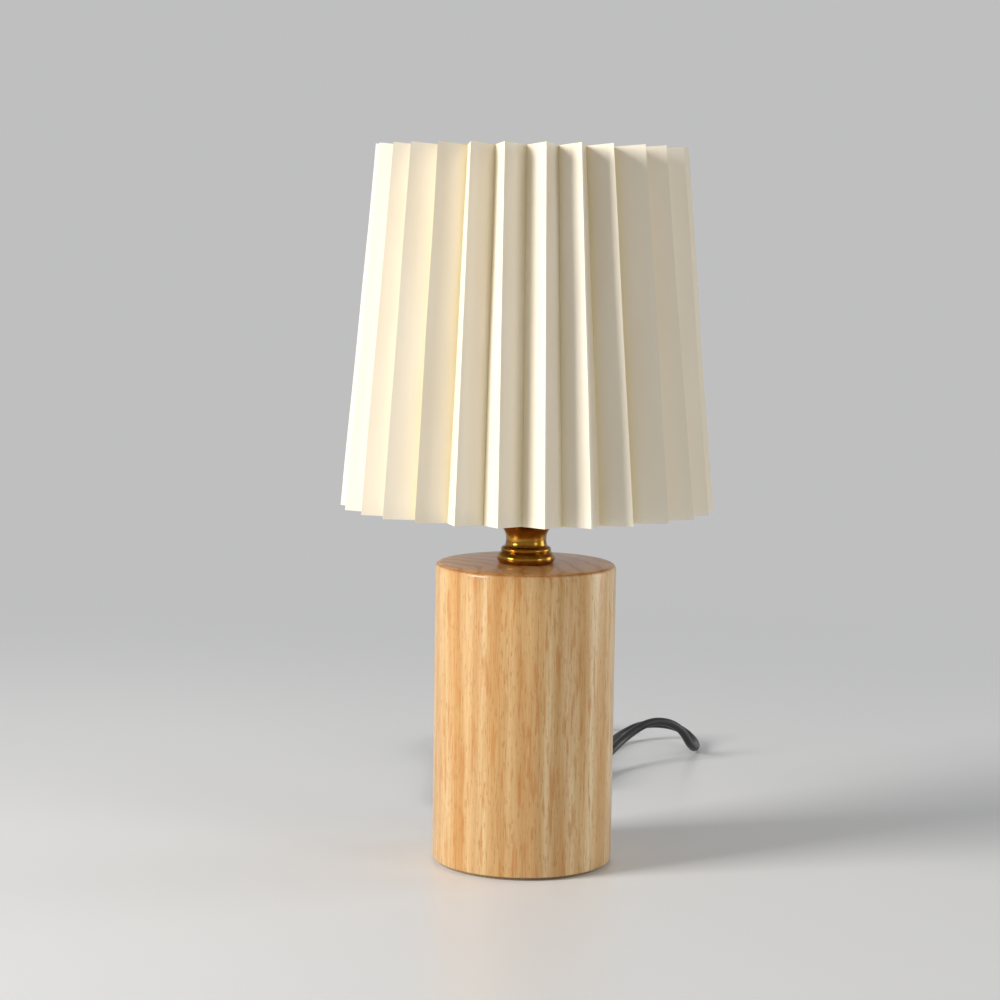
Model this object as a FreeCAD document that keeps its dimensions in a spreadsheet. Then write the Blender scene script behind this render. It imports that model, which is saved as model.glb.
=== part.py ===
import FreeCAD, Part
import math
import os

import Sketcher

# A small table lamp: a turned rubberwood base, a brass neck and lamp holder, an LED bulb,
# and a folded paper shade on a wire frame, with its mains lead, switch and plug.
# Millimetres, +Z up. The origin is the middle of the base's underside, on the table.
# +Y is the back of the lamp, where the mains lead leaves the base.

os.makedirs("parts", exist_ok=True)
doc = FreeCAD.newDocument("pleated_paper_lamp")
Vector = FreeCAD.Vector

# ---------------------------------------------------------------- driving dimensions

SIZES = {
    # clearances
    "loose_fit": 0.3,
    "seat_gap": 0.1,
    # wooden base and the felt under it
    "base_dia": 90.0,
    "base_height": 149.0,
    "base_round": 2.5,
    "base_chamfer": 0.8,
    "felt_thick": 1.5,
    "felt_margin": 2.0,
    "recess_dia": 62.0,
    "recess_depth": 25.0,
    # lamp tube that clamps base, neck and holder together
    "rod_dia": 10.0,
    "rod_bore": 7.6,
    "rod_below_nut": 2.0,
    "rod_above_nut": 1.0,
    "washer_dia": 26.0,
    "washer_thick": 1.5,
    "nut_flats": 14.0,
    "nut_height": 4.5,
    "top_nut_height": 3.0,
    "bush_dia": 12.0,
    "bush_lip": 1.0,
    "bush_sleeve": 4.0,
    "bush_wall": 0.5,
    # mains lead and where it enters the base
    "cord_dia": 4.8,
    "cord_height": 9.5,
    "cord_ground_gap": 0.1,
    "spot_depth": 1.2,
    "boot_hole_dia": 10.0,
    "boot_flange_dia": 13.0,
    "boot_flange": 2.2,
    "boot_tail": 26.0,
    "boot_root_dia": 9.4,
    "boot_tip_dia": 6.6,
    "boot_lip_dia": 12.0,
    "boot_lip": 1.5,
    "stop_dia": 10.0,
    "stop_length": 6.0,
    "sheath_inside": 10.0,
    # insulated wires inside the lamp
    "wire_dia": 2.0,
    "wire_spacing": 2.6,
    "wire_bend": 10.0,
    "wire_end": 8.0,
    # turned brass neck
    "neck_height": 20.0,
    "foot_dia": 29.0,
    "foot_height": 5.2,
    "foot_bulge": 1.3,
    "bead_dia": 25.8,
    "bead_height": 2.6,
    "bead_bulge": 0.9,
    "neck_groove": 0.35,
    "waist_start_dia": 21.4,
    "neck_top_dia": 30.0,
    "neck_cove": 8.2,
    # lamp holder
    "cup_dia": 40.0,
    "cup_height": 18.0,
    "cup_flare": 12.0,
    "cup_wall": 1.0,
    "cup_floor": 1.5,
    "flange_dia": 50.0,
    "flange_thick": 2.0,
    "flange_bore": 31.0,
    "barrel_dia": 39.6,
    "barrel_height": 31.5,
    "barrel_wall": 1.2,
    "skirt_depth": 4.0,
    "thread_depth": 0.7,
    "thread_pitch": 2.5,
    "thread_start": 5.0,
    "insert_wall": 3.0,
    "insert_floor_height": 3.0,
    "insert_floor": 5.0,
    "insert_below_top": 2.5,
    "terminal_spacing": 17.0,
    "terminal_head_dia": 5.2,
    "terminal_head": 2.6,
    "leaf_width": 5.0,
    "leaf_length": 14.0,
    "leaf_thick": 0.5,
    "leaf_rise": 3.2,
    "screw_shell_dia": 27.4,
    "screw_shell_wall": 0.4,
    "screw_shell_lip": 4.0,
    "lamp_thread_pitch": 3.6,
    "lamp_thread_depth": 0.6,
    # threaded ring that holds the shade down
    "collar_dia": 50.0,
    "collar_height": 7.0,
    "collar_wall_gap": 0.25,
    "collar_notch": 2.4,
    # LED bulb
    "bulb_dia": 60.0,
    "bulb_cap_dia": 26.0,
    "bulb_cap_wall": 0.5,
    "bulb_cap_height": 20.0,
    "bulb_tip_dia": 9.0,
    "bulb_tip": 1.6,
    "bulb_glass": 3.2,
    "bulb_glass_dia": 20.0,
    "bulb_body_height": 38.0,
    "bulb_mouth_dia": 53.0,
    "bulb_wall": 1.4,
    "bulb_flare": 70.0,
    "bulb_board": 1.6,
    # folded paper shade
    "shade_bottom": 178.2,
    "shade_height": 176.5,
    "shade_bottom_dia": 184.2,
    "shade_top_dia": 152.4,
    "pleat_depth": 13.0,
    "paper": 0.5,
    "top_peak_rise": 1.3,
    "bottom_peak_rise": 0.5,
    # wire frame of the shade
    "frame_wire": 2.4,
    "bottom_ring_rise": 6.0,
    "top_ring_drop": 8.0,
    "fitter_dia": 58.0,
    "fitter_thick": 1.5,
    "fitter_bore_gap": 0.4,
    # switch on the lead
    "switch_length": 62.0,
    "switch_width": 27.0,
    "switch_height": 17.0,
    "switch_corner": 9.0,
    "switch_wall": 1.8,
    "sleeve_length": 12.0,
    "sleeve_root_dia": 8.4,
    "sleeve_tip_dia": 6.4,
    "sleeve_flange_dia": 9.6,
    "sleeve_flange": 2.0,
    "rocker_length": 17.2,
    "rocker_width": 11.4,
    "rocker_rise": 3.4,
    "rocker_slope": 9.0,
    "rocker_foot": 1.0,
    "rocker_belly": 1.5,
    "pin_dia": 2.6,
    "pin_length": 2.0,
    "window_gap": 0.4,
    "ear_length": 10.0,
    "ear_thick": 2.2,
    "ear_drop": 3.6,
    "post_dia": 5.2,
    "post_inset": 9.0,
    "screw_dia": 2.2,
    "screw_head_dia": 4.2,
    "screw_head": 1.6,
    "terminal_block": 5.0,
    "terminal_reach": 13.0,
    # plug
    "plug_width": 35.3,
    "plug_thick": 13.7,
    "plug_body": 33.0,
    "plug_back_width": 18.0,
    "plug_back_thick": 11.0,
    "plug_tail": 14.0,
    "plug_tail_dia": 9.0,
    "plug_tip_dia": 6.4,
    "prong_dia": 4.0,
    "prong_length": 19.0,
    "prong_spacing": 18.6,
    "prong_sleeve": 10.0,
    "prong_sleeve_dia": 3.5,
    "prong_depth": 8.0,
    # coil of the lead that is put away
    "coil_inner": 22.5,
    "coil_gap": 1.4,
    "layer_gap": 0.6,
    "tie_width": 12.0,
    "tie_thick": 0.6,
}

# Counts of what repeats.
PLEATS = 27
ARMS = 3
COLLAR_NOTCHES = 24
BARREL_THREADS = 6
CAP_THREADS = 4

# The peak of one fold stands this many degrees to the right of the lamp's front.
PLEAT_PHASE = 4.5
# Where the switch lies on the table, and the way it points.
SWITCH_PLACE = (16.0, 165.0)
SWITCH_HEADING = -109.0
# The plug lies behind the coil, and the coil behind the base.
PLUG_PLACE = (-9.0, 306.0)
COIL_PLACE = (-9.0, 245.0)
COIL_TURNS_IN = 2.25

# ---------------------------------------------------------------- sheet and formulas

sheet = doc.addObject("Spreadsheet::Sheet", "Sizes")
for row, (alias, number) in enumerate(SIZES.items(), 1):
    sheet.set(f"A{row}", alias)
    sheet.set(f"B{row}", str(number))
    sheet.setAlias(f"B{row}", alias)
doc.recompute()


class Size(float):
    """A length that also knows its formula in the sheet's cells."""

    def __new__(cls, value, formula):
        size = super().__new__(cls, value)
        size.formula = formula
        return size

    def __add__(self, other):
        return Size(float(self) + other, f"({self.formula} + {formula_of(other)})")

    def __radd__(self, other):
        return Size(other + float(self), f"({formula_of(other)} + {self.formula})")

    def __sub__(self, other):
        return Size(float(self) - other, f"({self.formula} - {formula_of(other)})")

    def __rsub__(self, other):
        return Size(other - float(self), f"({formula_of(other)} - {self.formula})")

    def __mul__(self, other):
        return Size(float(self) * other, f"({self.formula} * {formula_of(other)})")

    def __rmul__(self, other):
        return Size(other * float(self), f"({formula_of(other)} * {self.formula})")

    def __truediv__(self, other):
        return Size(float(self) / other, f"({self.formula} / {formula_of(other)})")

    def __neg__(self):
        return Size(-float(self), f"(-{self.formula})")


def formula_of(value):
    return value.formula if isinstance(value, Size) else repr(float(value))


def size(alias):
    return Size(float(sheet.get(alias)), f"Sizes.{alias}")


def bind(obj, prop, value):
    """Ties a property to the sheet, or sets it where the value is a plain number."""
    if isinstance(value, Size):
        obj.setExpression(prop, value.formula)
    elif prop.startswith("Placement.Base."):
        base = obj.Placement.Base
        setattr(base, prop[-1], float(value))
        obj.Placement = FreeCAD.Placement(base, obj.Placement.Rotation)
    else:
        setattr(obj, prop, float(value))


NODES = []


def node(obj, label, placement=None):
    """Names an object after the file it is written to."""
    obj.Label = label
    if placement is not None:
        obj.Placement = placement
    NODES.append(obj)
    return obj


# ---------------------------------------------------------------- sketches and solids


def new_body(label):
    body = doc.addObject("PartDesign::Body", "Body_" + label)
    return node(body, label)


def new_sketch(body, role, offset=None):
    """A sketch on one of the body's own origin planes, moved along that plane's normal."""
    plane = next(item for item in body.Origin.OriginFeatures if item.Role == role)
    sketch = body.newObject("Sketcher::SketchObject", "Sketch")
    sketch.AttachmentSupport = [(plane, "")]
    sketch.MapMode = "FlatFace"
    if offset is not None:
        sketch.setExpression("AttachmentOffset.Base.z", formula_of(offset))
    return sketch


def dimension(sketch, kind, name, value, *where):
    index = sketch.addConstraint(Sketcher.Constraint(kind, *where, float(value)))
    sketch.renameConstraint(index, name)
    sketch.setExpression(f"Constraints.{name}", formula_of(value))


def arc_middle(start, end, radius):
    """The middle of the short arc from start to end. A positive radius turns left."""
    chord = end - start
    middle = (start + end) / 2
    left = Vector(-chord.y, chord.x, 0)
    left.normalize()
    height = math.sqrt(radius * radius - chord.Length * chord.Length / 4)
    side = 1 if radius > 0 else -1
    return middle + left * side * (height - abs(radius))


def draw_outline(sketch, points):
    """Draws a closed outline of (across, up) points, or (across, up, radius) for an arc.

    An arc's radius is that of the stretch that ends at its point.
    """
    corners = [Vector(float(point[0]), float(point[1]), 0) for point in points]
    ends = []
    for index, point in enumerate(points):
        start, end = corners[index - 1], corners[index]
        if len(point) == 2:
            sketch.addGeometry(Part.LineSegment(start, end))
            ends.append((1, 2))
        else:
            middle = arc_middle(start, end, float(point[2]))
            if point[2] > 0:
                sketch.addGeometry(Part.Arc(start, middle, end))
                ends.append((1, 2))
            else:
                sketch.addGeometry(Part.Arc(end, middle, start))
                ends.append((2, 1))
    for index, point in enumerate(points):
        after = (index + 1) % len(points)
        sketch.addConstraint(
            Sketcher.Constraint("Coincident", index, ends[index][1], after, ends[after][0]))
        dimension(sketch, "DistanceX", f"across{index}", point[0], -1, 1, index, ends[index][1])
        dimension(sketch, "DistanceY", f"up{index}", point[1], -1, 1, index, ends[index][1])
        if len(point) == 3:
            dimension(sketch, "Radius", f"radius{index}", abs_size(point[2]), index)


def abs_size(value):
    return value if value > 0 else -value


def draw_circle(sketch, across, up, diameter):
    sketch.addGeometry(
        Part.Circle(Vector(float(across), float(up), 0), Vector(0, 0, 1), diameter / 2))
    dimension(sketch, "DistanceX", "across", across, -1, 1, 0, 3)
    dimension(sketch, "DistanceY", "up", up, -1, 1, 0, 3)
    dimension(sketch, "Diameter", "width", diameter, 0)


def turned(label, points):
    """A body turned about its own Z axis from an outline of (radius, height) points."""
    body = new_body(label)
    sketch = new_sketch(body, "XZ_Plane")
    draw_outline(sketch, points)
    revolution = body.newObject("PartDesign::Revolution", "Revolution")
    revolution.Profile = sketch
    revolution.ReferenceAxis = (sketch, ["V_Axis"])
    revolution.Angle = 360
    doc.recompute()
    return body


def pocket(body, sketch, depth, backwards=False):
    """Cuts a pocket and makes sure that it took something away."""
    before = body.Shape.Volume
    cut = body.newObject("PartDesign::Pocket", "Pocket")
    cut.Profile = sketch
    bind(cut, "Length", depth)
    cut.Reversed = backwards
    doc.recompute()
    assert body.Shape.Volume < before - 1e-3, f"{body.Label}: the pocket cut nothing"
    return cut


def cylinder(diameter, height, x=0, y=0, z=0, turn=None):
    """A round bar from (x, y, z) along +Z, or along the axis that turn gives it."""
    bar = doc.addObject("Part::Cylinder", "Bar")
    if turn is not None:
        bar.Placement = FreeCAD.Placement(Vector(), turn)
    bind(bar, "Radius", diameter / 2)
    bind(bar, "Height", height)
    for axis, value in (("x", x), ("y", y), ("z", z)):
        bind(bar, f"Placement.Base.{axis}", value)
    return bar


def box(length, width, height, x=0, y=0, z=0):
    """A block centred on (x, y), with its underside at z."""
    block = doc.addObject("Part::Box", "Block")
    bind(block, "Length", length)
    bind(block, "Width", width)
    bind(block, "Height", height)
    bind(block, "Placement.Base.x", x - length / 2)
    bind(block, "Placement.Base.y", y - width / 2)
    bind(block, "Placement.Base.z", z)
    return block


def cut(base, *tools):
    for tool in tools:
        result = doc.addObject("Part::Cut", "Cut")
        result.Base = base
        result.Tool = tool
        base = result
    doc.recompute()
    return base


def fuse(*shapes):
    result = doc.addObject("Part::MultiFuse", "Fuse")
    result.Shapes = list(shapes)
    doc.recompute()
    return result


def group(*shapes):
    result = doc.addObject("Part::Compound", "Group")
    result.Links = list(shapes)
    doc.recompute()
    return result


def rounded(base, radius, picks):
    """Rounds the edges of a primitive that picks(edge) chooses."""
    doc.recompute()
    result = doc.addObject("Part::Fillet", "Fillet")
    result.Base = base
    numbers = [i for i, edge in enumerate(base.Shape.Edges, 1) if picks(edge)]
    result.Edges = [(i, float(radius), float(radius)) for i in numbers]
    doc.recompute()
    return result


def shaped(label, shape, placement=None):
    """A piece whose form no sketch or primitive gives, from its own finished shape."""
    piece = doc.addObject("Part::Feature", "Shaped_" + label)
    piece.Shape = shape
    return node(piece, label, placement or FreeCAD.Placement())


ALONG_X = FreeCAD.Rotation(Vector(0, 1, 0), 90)
ALONG_Y = FreeCAD.Rotation(Vector(1, 0, 0), -90)

# ---------------------------------------------------------------- heights up the lamp

loose = size("loose_fit")
seat = size("seat_gap")
rod_dia = size("rod_dia")
rod_radius = rod_dia / 2
rod_hole = rod_radius + loose

base_radius = size("base_dia") / 2
base_low = size("felt_thick")
base_top = base_low + size("base_height")
ceiling = base_low + size("recess_depth")
recess_radius = size("recess_dia") / 2

washer_low = ceiling - size("washer_thick")
nut_low = washer_low - size("nut_height")
rod_low = nut_low - size("rod_below_nut")
bush_low = rod_low - size("bush_lip")

neck_top = base_top + size("neck_height")
cup_floor_top = neck_top + size("cup_floor")
rod_top = cup_floor_top + size("top_nut_height") + size("rod_above_nut")
cup_top = neck_top + size("cup_height")
flange_top = cup_top + size("flange_thick")
barrel_top = flange_top + size("barrel_height")
barrel_radius = size("barrel_dia") / 2
barrel_inner = barrel_radius - size("thread_depth") - size("barrel_wall")

# ---------------------------------------------------------------- wooden base

base_round = size("base_round")
base_chamfer = size("base_chamfer")
base_block = turned("base_block", [
    (recess_radius, base_low),
    (base_radius - base_chamfer, base_low),
    (base_radius, base_low + base_chamfer),
    (base_radius, base_top - base_round),
    (base_radius - base_round, base_top, base_round),
    (rod_hole, base_top),
    (rod_hole, ceiling),
    (recess_radius, ceiling),
])
cord_height = size("cord_height")
lead_hole = new_sketch(base_block, "XZ_Plane")
draw_circle(lead_hole, 0, cord_height, size("boot_hole_dia"))
pocket(base_block, lead_hole, size("base_dia"))
spot_face = base_radius - size("spot_depth")
spot = new_sketch(base_block, "XZ_Plane", -spot_face)
draw_circle(spot, 0, cord_height, size("boot_flange_dia") + 2 * loose)
pocket(base_block, spot, size("base_dia"))

# Felt disc glued under the base, which closes the recess.
turned("base_felt", [
    (0, 0),
    (base_radius - size("felt_margin"), 0),
    (base_radius - size("felt_margin"), base_low),
    (0, base_low),
])

# ---------------------------------------------------------------- lamp tube and its nuts

turned("lamp_tube", [
    (size("rod_bore") / 2, rod_low),
    (rod_radius, rod_low),
    (rod_radius, rod_top),
    (size("rod_bore") / 2, rod_top),
])
turned("bottom_washer", [
    (rod_hole, washer_low),
    (size("washer_dia") / 2, washer_low),
    (size("washer_dia") / 2, ceiling),
    (rod_hole, ceiling),
])


def hex_nut(label, height, low):
    """A six-sided nut on the lamp tube, with its underside at low."""
    blank = doc.addObject("Part::Prism", "Hexagon")
    blank.Polygon = 6
    bind(blank, "Circumradius", size("nut_flats") / math.sqrt(3))
    bind(blank, "Height", height)
    bind(blank, "Placement.Base.z", low)
    return node(cut(blank, cylinder(rod_dia, height, z=low)), label)


hex_nut("bottom_nut", size("nut_height"), nut_low)
hex_nut("top_nut", size("top_nut_height"), cup_floor_top)

# Plastic bush that keeps the tube's sharp end off the wires.
bush_outer = size("rod_bore") / 2 - seat
turned("tube_bush", [
    (bush_outer - size("bush_wall"), bush_low),
    (size("bush_dia") / 2, bush_low),
    (size("bush_dia") / 2, rod_low),
    (bush_outer, rod_low),
    (bush_outer, rod_low + size("bush_sleeve")),
    (bush_outer - size("bush_wall"), rod_low + size("bush_sleeve")),
])

# ---------------------------------------------------------------- lead entry at the back

# The boot is turned about its own Z axis, which lies along +Y at the lead's height.
cord_radius = size("cord_dia") / 2
boot_seat = spot_face
flange_end = boot_seat + size("boot_flange")
boot_tip = flange_end + size("boot_tail")
boot_neck_radius = size("boot_hole_dia") / 2 - loose
lip_outer = Size(
    math.sqrt(recess_radius ** 2 - (size("boot_lip_dia") / 2) ** 2),
    "sqrt((Sizes.recess_dia / 2) ^ 2 - (Sizes.boot_lip_dia / 2) ^ 2)") - seat
lip_inner = lip_outer - size("boot_lip")
boot_bore = cord_radius
cord_boot = turned("cord_boot", [
    (boot_bore, lip_inner),
    (size("boot_lip_dia") / 2, lip_inner),
    (size("boot_lip_dia") / 2, lip_outer),
    (boot_neck_radius, lip_outer),
    (boot_neck_radius, boot_seat),
    (size("boot_flange_dia") / 2, boot_seat),
    (size("boot_flange_dia") / 2, flange_end),
    (size("boot_root_dia") / 2, flange_end),
    (size("boot_tip_dia") / 2, boot_tip),
    (boot_bore, boot_tip),
])
stop_end = lip_inner - seat
stop_start = stop_end - size("stop_length")
cord_stop = turned("cord_stop", [
    (cord_radius, stop_start),
    (size("stop_dia") / 2, stop_start),
    (size("stop_dia") / 2, stop_end),
    (cord_radius, stop_end),
])
sheath_start = lip_inner - size("sheath_inside")
cord_entry = turned("cord_entry", [
    (0, sheath_start),
    (cord_radius, sheath_start),
    (cord_radius, boot_tip),
    (0, boot_tip),
])
for piece in (cord_boot, cord_stop, cord_entry):
    piece.Placement = FreeCAD.Placement(Vector(0, 0, cord_height), ALONG_Y)
    bind(piece, "Placement.Base.z", cord_height)

# ---------------------------------------------------------------- round paths


def unit(vector):
    return vector / vector.Length


def rounded_path(points):
    """Straight runs joined by tangent arcs, and the radius of each arc."""
    edges = []
    radii = []
    last = points[0]
    for before, corner, after in zip(points, points[1:], points[2:]):
        back = unit(before - corner)
        ahead = unit(after - corner)
        half_turn = (math.pi - back.getAngle(ahead)) / 2
        reach = 0.45 * min((before - corner).Length, (after - corner).Length)
        radius = reach / math.tan(half_turn)
        start = corner + back * reach
        end = corner + ahead * reach
        centre = corner + unit(back + ahead) * (radius / math.cos(half_turn))
        middle = centre + unit(corner - centre) * radius
        edges.append(Part.LineSegment(last, start).toShape())
        edges.append(Part.Arc(start, middle, end).toShape())
        radii.append(radius)
        last = end
    edges.append(Part.LineSegment(last, points[-1]).toShape())
    return Part.Wire(edges), radii


def tube_along(path, start, heading, radius):
    """A solid round tube swept along a path."""
    ring = Part.Wire([Part.Circle(start, heading, radius).toShape()])
    return path.makePipeShell([ring], True, False)


def lead(label, points, diameter):
    """A stretch of lead or wire along a route, whose volume and radii are printed."""
    points = [Vector(*point) for point in points]
    path, radii = rounded_path(points)
    solid = tube_along(path, points[0], points[1] - points[0], diameter / 2)
    expected = math.pi * diameter ** 2 / 4 * path.Length
    print(f"{label}: length {path.Length:.1f}, volume {solid.Volume / expected:.4f} of"
          f" section times length, radii {', '.join(f'{radius:.1f}' for radius in radii)}")
    assert abs(solid.Volume / expected - 1) < 0.01, label
    return shaped(label, solid), path.Length


# ---------------------------------------------------------------- wires inside the lamp

# They leave the sheath in the recess, turn up through the tube and spread to the terminals.
wire_offset = size("wire_spacing") / 2
wire_bend = size("wire_bend")
terminal_x = size("terminal_spacing") / 2
insert_low = flange_top + seat
floor_low = insert_low + size("insert_floor_height")
terminal_low = floor_low - size("terminal_head")
for label, side in (("wire_live", 1), ("wire_neutral", -1)):
    turn_up = wire_bend * 0.65
    lead(label, [
        (side * wire_offset, sheath_start, cord_height),
        (side * wire_offset, turn_up, cord_height),
        (side * wire_offset, 0, cord_height + turn_up),
        (side * wire_offset, 0, rod_top + 0.5),
        (side * terminal_x, 0, terminal_low - size("wire_end")),
        (side * terminal_x, 0, terminal_low),
    ], float(size("wire_dia")))

# ---------------------------------------------------------------- brass neck

# A foot and a bead stand over a cove that opens to the holder's cup.


def bulge_radius(height, bulge):
    """The radius of an arc across a height that stands out by a bulge."""
    return (height * height / 4 + bulge * bulge) / (2 * bulge)


foot_radius = size("foot_dia") / 2 - size("foot_bulge")
foot_top = base_top + size("foot_height")
bead_low = foot_top + size("neck_groove")
bead_radius = size("bead_dia") / 2 - size("bead_bulge")
bead_top = bead_low + size("bead_height")
cove_low = bead_top + size("neck_groove")
turned("neck_spacer", [
    (rod_hole, base_top),
    (foot_radius, base_top),
    (foot_radius, foot_top, bulge_radius(size("foot_height"), size("foot_bulge"))),
    (bead_radius, bead_low),
    (bead_radius, bead_top, bulge_radius(size("bead_height"), size("bead_bulge"))),
    (size("waist_start_dia") / 2, cove_low),
    (size("neck_top_dia") / 2, neck_top, -size("neck_cove")),
    (rod_hole, neck_top),
])

# ---------------------------------------------------------------- lamp holder

cup_radius = size("cup_dia") / 2
cup_foot = size("neck_top_dia") / 2 - 1.0
cup_wall = size("cup_wall")
flare_top = neck_top + size("cup_flare")
turned("holder_cup", [
    (rod_radius, neck_top),
    (cup_foot, neck_top),
    (cup_radius, flare_top, size("cup_flare") * 1.6),
    (cup_radius, cup_top),
    (cup_radius - cup_wall, cup_top),
    (cup_radius - cup_wall, flare_top),
    (cup_foot - cup_wall, cup_floor_top, -size("cup_flare") * 1.6),
    (rod_radius, cup_floor_top),
])

# The barrel carries the flange that the shade rests on, and a thread for the shade ring.
skirt_low = cup_top - size("skirt_depth")
skirt_radius = cup_radius - cup_wall - seat
thread_pitch = size("thread_pitch")
thread_low = flange_top + size("thread_start")
root_radius = barrel_radius - size("thread_depth")
barrel_outline = [
    (size("flange_bore") / 2, cup_top),
    (skirt_radius - size("barrel_wall"), cup_top),
    (skirt_radius - size("barrel_wall"), skirt_low),
    (skirt_radius, skirt_low),
    (skirt_radius, cup_top),
    (size("flange_dia") / 2, cup_top),
    (size("flange_dia") / 2, flange_top),
    (barrel_radius, flange_top),
]
for turn in range(BARREL_THREADS):
    crest = thread_low + thread_pitch * turn
    barrel_outline += [
        (barrel_radius, crest),
        (root_radius, crest + thread_pitch * 0.35),
        (root_radius, crest + thread_pitch * 0.45),
        (barrel_radius, crest + thread_pitch * 0.8),
    ]
insert_radius = barrel_inner - seat
barrel_outline += [
    (barrel_radius, barrel_top),
    (insert_radius - size("insert_wall") + 0.5, barrel_top),
    (insert_radius - size("insert_wall") + 0.5, barrel_top - size("barrel_wall")),
    (barrel_inner, barrel_top - size("barrel_wall")),
    (barrel_inner, flange_top),
    (size("flange_bore") / 2, flange_top),
]
turned("holder_barrel", barrel_outline)

# Porcelain insert with a floor that carries the contacts.
floor_top = floor_low + size("insert_floor")
insert_top = barrel_top - size("insert_below_top")
well_radius = insert_radius - size("insert_wall")
porcelain = turned("porcelain_insert", [
    (insert_radius - 1.2, insert_low),
    (insert_radius, insert_low),
    (insert_radius, insert_top),
    (well_radius, insert_top),
    (well_radius, floor_top),
    (0, floor_top),
    (0, floor_low),
    (insert_radius - 1.2, floor_low),
])

# Thin brass shell with a rolled lamp thread, riveted to the porcelain by its lip.
shell_inner = size("screw_shell_dia") / 2
shell_wall = size("screw_shell_wall")
lamp_pitch = size("lamp_thread_pitch")
lamp_depth = size("lamp_thread_depth")


def rolled_thread(radius, low):
    """Points up a wall whose thread is rolled outwards, from a low end."""
    points = []
    for turn in range(CAP_THREADS):
        start = low + lamp_pitch * turn
        points += [
            (radius, start + lamp_pitch * 0.1),
            (radius + lamp_depth, start + lamp_pitch * 0.45),
            (radius + lamp_depth, start + lamp_pitch * 0.65),
            (radius, start + lamp_pitch * 0.98),
        ]
    return points


shell_low = floor_top
shell_top = insert_top - 0.5
shell_thread_low = shell_low + 2.0
outside = rolled_thread(shell_inner + shell_wall, shell_thread_low)
inside = rolled_thread(shell_inner, shell_thread_low)
turned("screw_shell", [
    (shell_inner - size("screw_shell_lip"), shell_low),
    (shell_inner + shell_wall, shell_low),
    *outside,
    (shell_inner + shell_wall, shell_top),
    (shell_inner, shell_top),
    *reversed(inside),
    (shell_inner, shell_low + shell_wall),
    (shell_inner - size("screw_shell_lip"), shell_low + shell_wall),
])

# Springy brass leaf under the bulb's tip: a foot riveted to the floor and a raised tongue.
leaf_body = new_body("centre_contact")
leaf_sketch = new_sketch(leaf_body, "XZ_Plane", -size("leaf_width") / 2)
leaf_half = size("leaf_length") / 2
leaf_thick = size("leaf_thick")
leaf_top = floor_top + size("leaf_rise")
draw_outline(leaf_sketch, [
    (-leaf_half, floor_top),
    (leaf_half - 5.0, floor_top),
    (leaf_half, leaf_top - leaf_thick),
    (-leaf_half + 4.0, leaf_top - leaf_thick),
    (-leaf_half + 4.0, leaf_top),
    (leaf_half + 0.8, leaf_top),
    (leaf_half - 4.5, floor_top + leaf_thick),
    (-leaf_half, floor_top + leaf_thick),
])
leaf_pad = leaf_body.newObject("PartDesign::Pad", "Pad")
leaf_pad.Profile = leaf_sketch
bind(leaf_pad, "Length", size("leaf_width"))
doc.recompute()

# One screw head under the porcelain at the end of each wire.
node(group(*[
    cylinder(size("terminal_head_dia"), size("terminal_head"), x=side * terminal_x,
             z=terminal_low)
    for side in (1, -1)
]), "terminal_screws")

# ---------------------------------------------------------------- shade ring

fitter_low = flange_top + seat
fitter_top = fitter_low + size("fitter_thick")
collar_low = fitter_top + seat
collar_top = collar_low + size("collar_height")
collar_bore = barrel_radius + size("collar_wall_gap")
collar_radius = size("collar_dia") / 2
shade_collar = turned("shade_collar", [
    (collar_bore, collar_low),
    (collar_radius, collar_low),
    (collar_radius, collar_low + 2.0),
    (collar_radius - 1.5, collar_low + 2.0),
    (collar_radius - 1.5, collar_top - 0.8),
    (collar_radius - 2.3, collar_top),
    (collar_bore, collar_top),
])
notch_sketch = new_sketch(shade_collar, "XY_Plane", collar_low + 2.0)
draw_circle(notch_sketch, collar_radius - 1.5 + size("collar_notch") * 0.2, 0,
            size("collar_notch"))
notch = pocket(shade_collar, notch_sketch, size("collar_height"), backwards=True)
before = shade_collar.Shape.Volume
notches = shade_collar.newObject("PartDesign::PolarPattern", "Notches")
notches.Originals = [notch]
notches.Axis = (notch_sketch, ["N_Axis"])
notches.Angle = 360
notches.Occurrences = COLLAR_NOTCHES
shade_collar.Tip = notches
doc.recompute()
assert shade_collar.Shape.Volume < before, "the collar's notches were not repeated"

# ---------------------------------------------------------------- LED bulb

# It stands on the leaf. The cap's thread clears the shell's, so that it can lift out.
tip_low = leaf_top + seat
glass_low = tip_low + size("bulb_tip")
cap_low = glass_low + size("bulb_glass")
cap_top = cap_low + size("bulb_cap_height")
cap_crest = size("bulb_cap_dia") / 2
cap_root = cap_crest - lamp_depth
cap_inner = cap_root - size("bulb_cap_wall")
turned("bulb_tip", [
    (0, tip_low),
    (size("bulb_tip_dia") / 2 - 1.2, tip_low),
    (size("bulb_tip_dia") / 2, glass_low, 2.2),
    (0, glass_low),
])
turned("bulb_glass_ring", [
    (0, glass_low),
    (size("bulb_tip_dia") / 2 + 0.4, glass_low),
    (size("bulb_glass_dia") / 2, cap_low),
    (0, cap_low),
])
turned("bulb_cap", [
    (0, cap_low),
    (size("bulb_glass_dia") / 2 + 0.8, cap_low),
    (cap_root, cap_low + 1.5),
    *rolled_thread(cap_root, cap_low + 1.5),
    (cap_root, cap_top),
    (cap_inner, cap_top),
    (cap_inner, cap_low + 2.0),
    (0, cap_low + 2.0),
])
body_top = cap_top + size("bulb_body_height")
mouth_radius = size("bulb_mouth_dia") / 2
bulb_wall = size("bulb_wall")
flare = size("bulb_flare")
board_low = body_top - bulb_wall - size("bulb_board")
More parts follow.
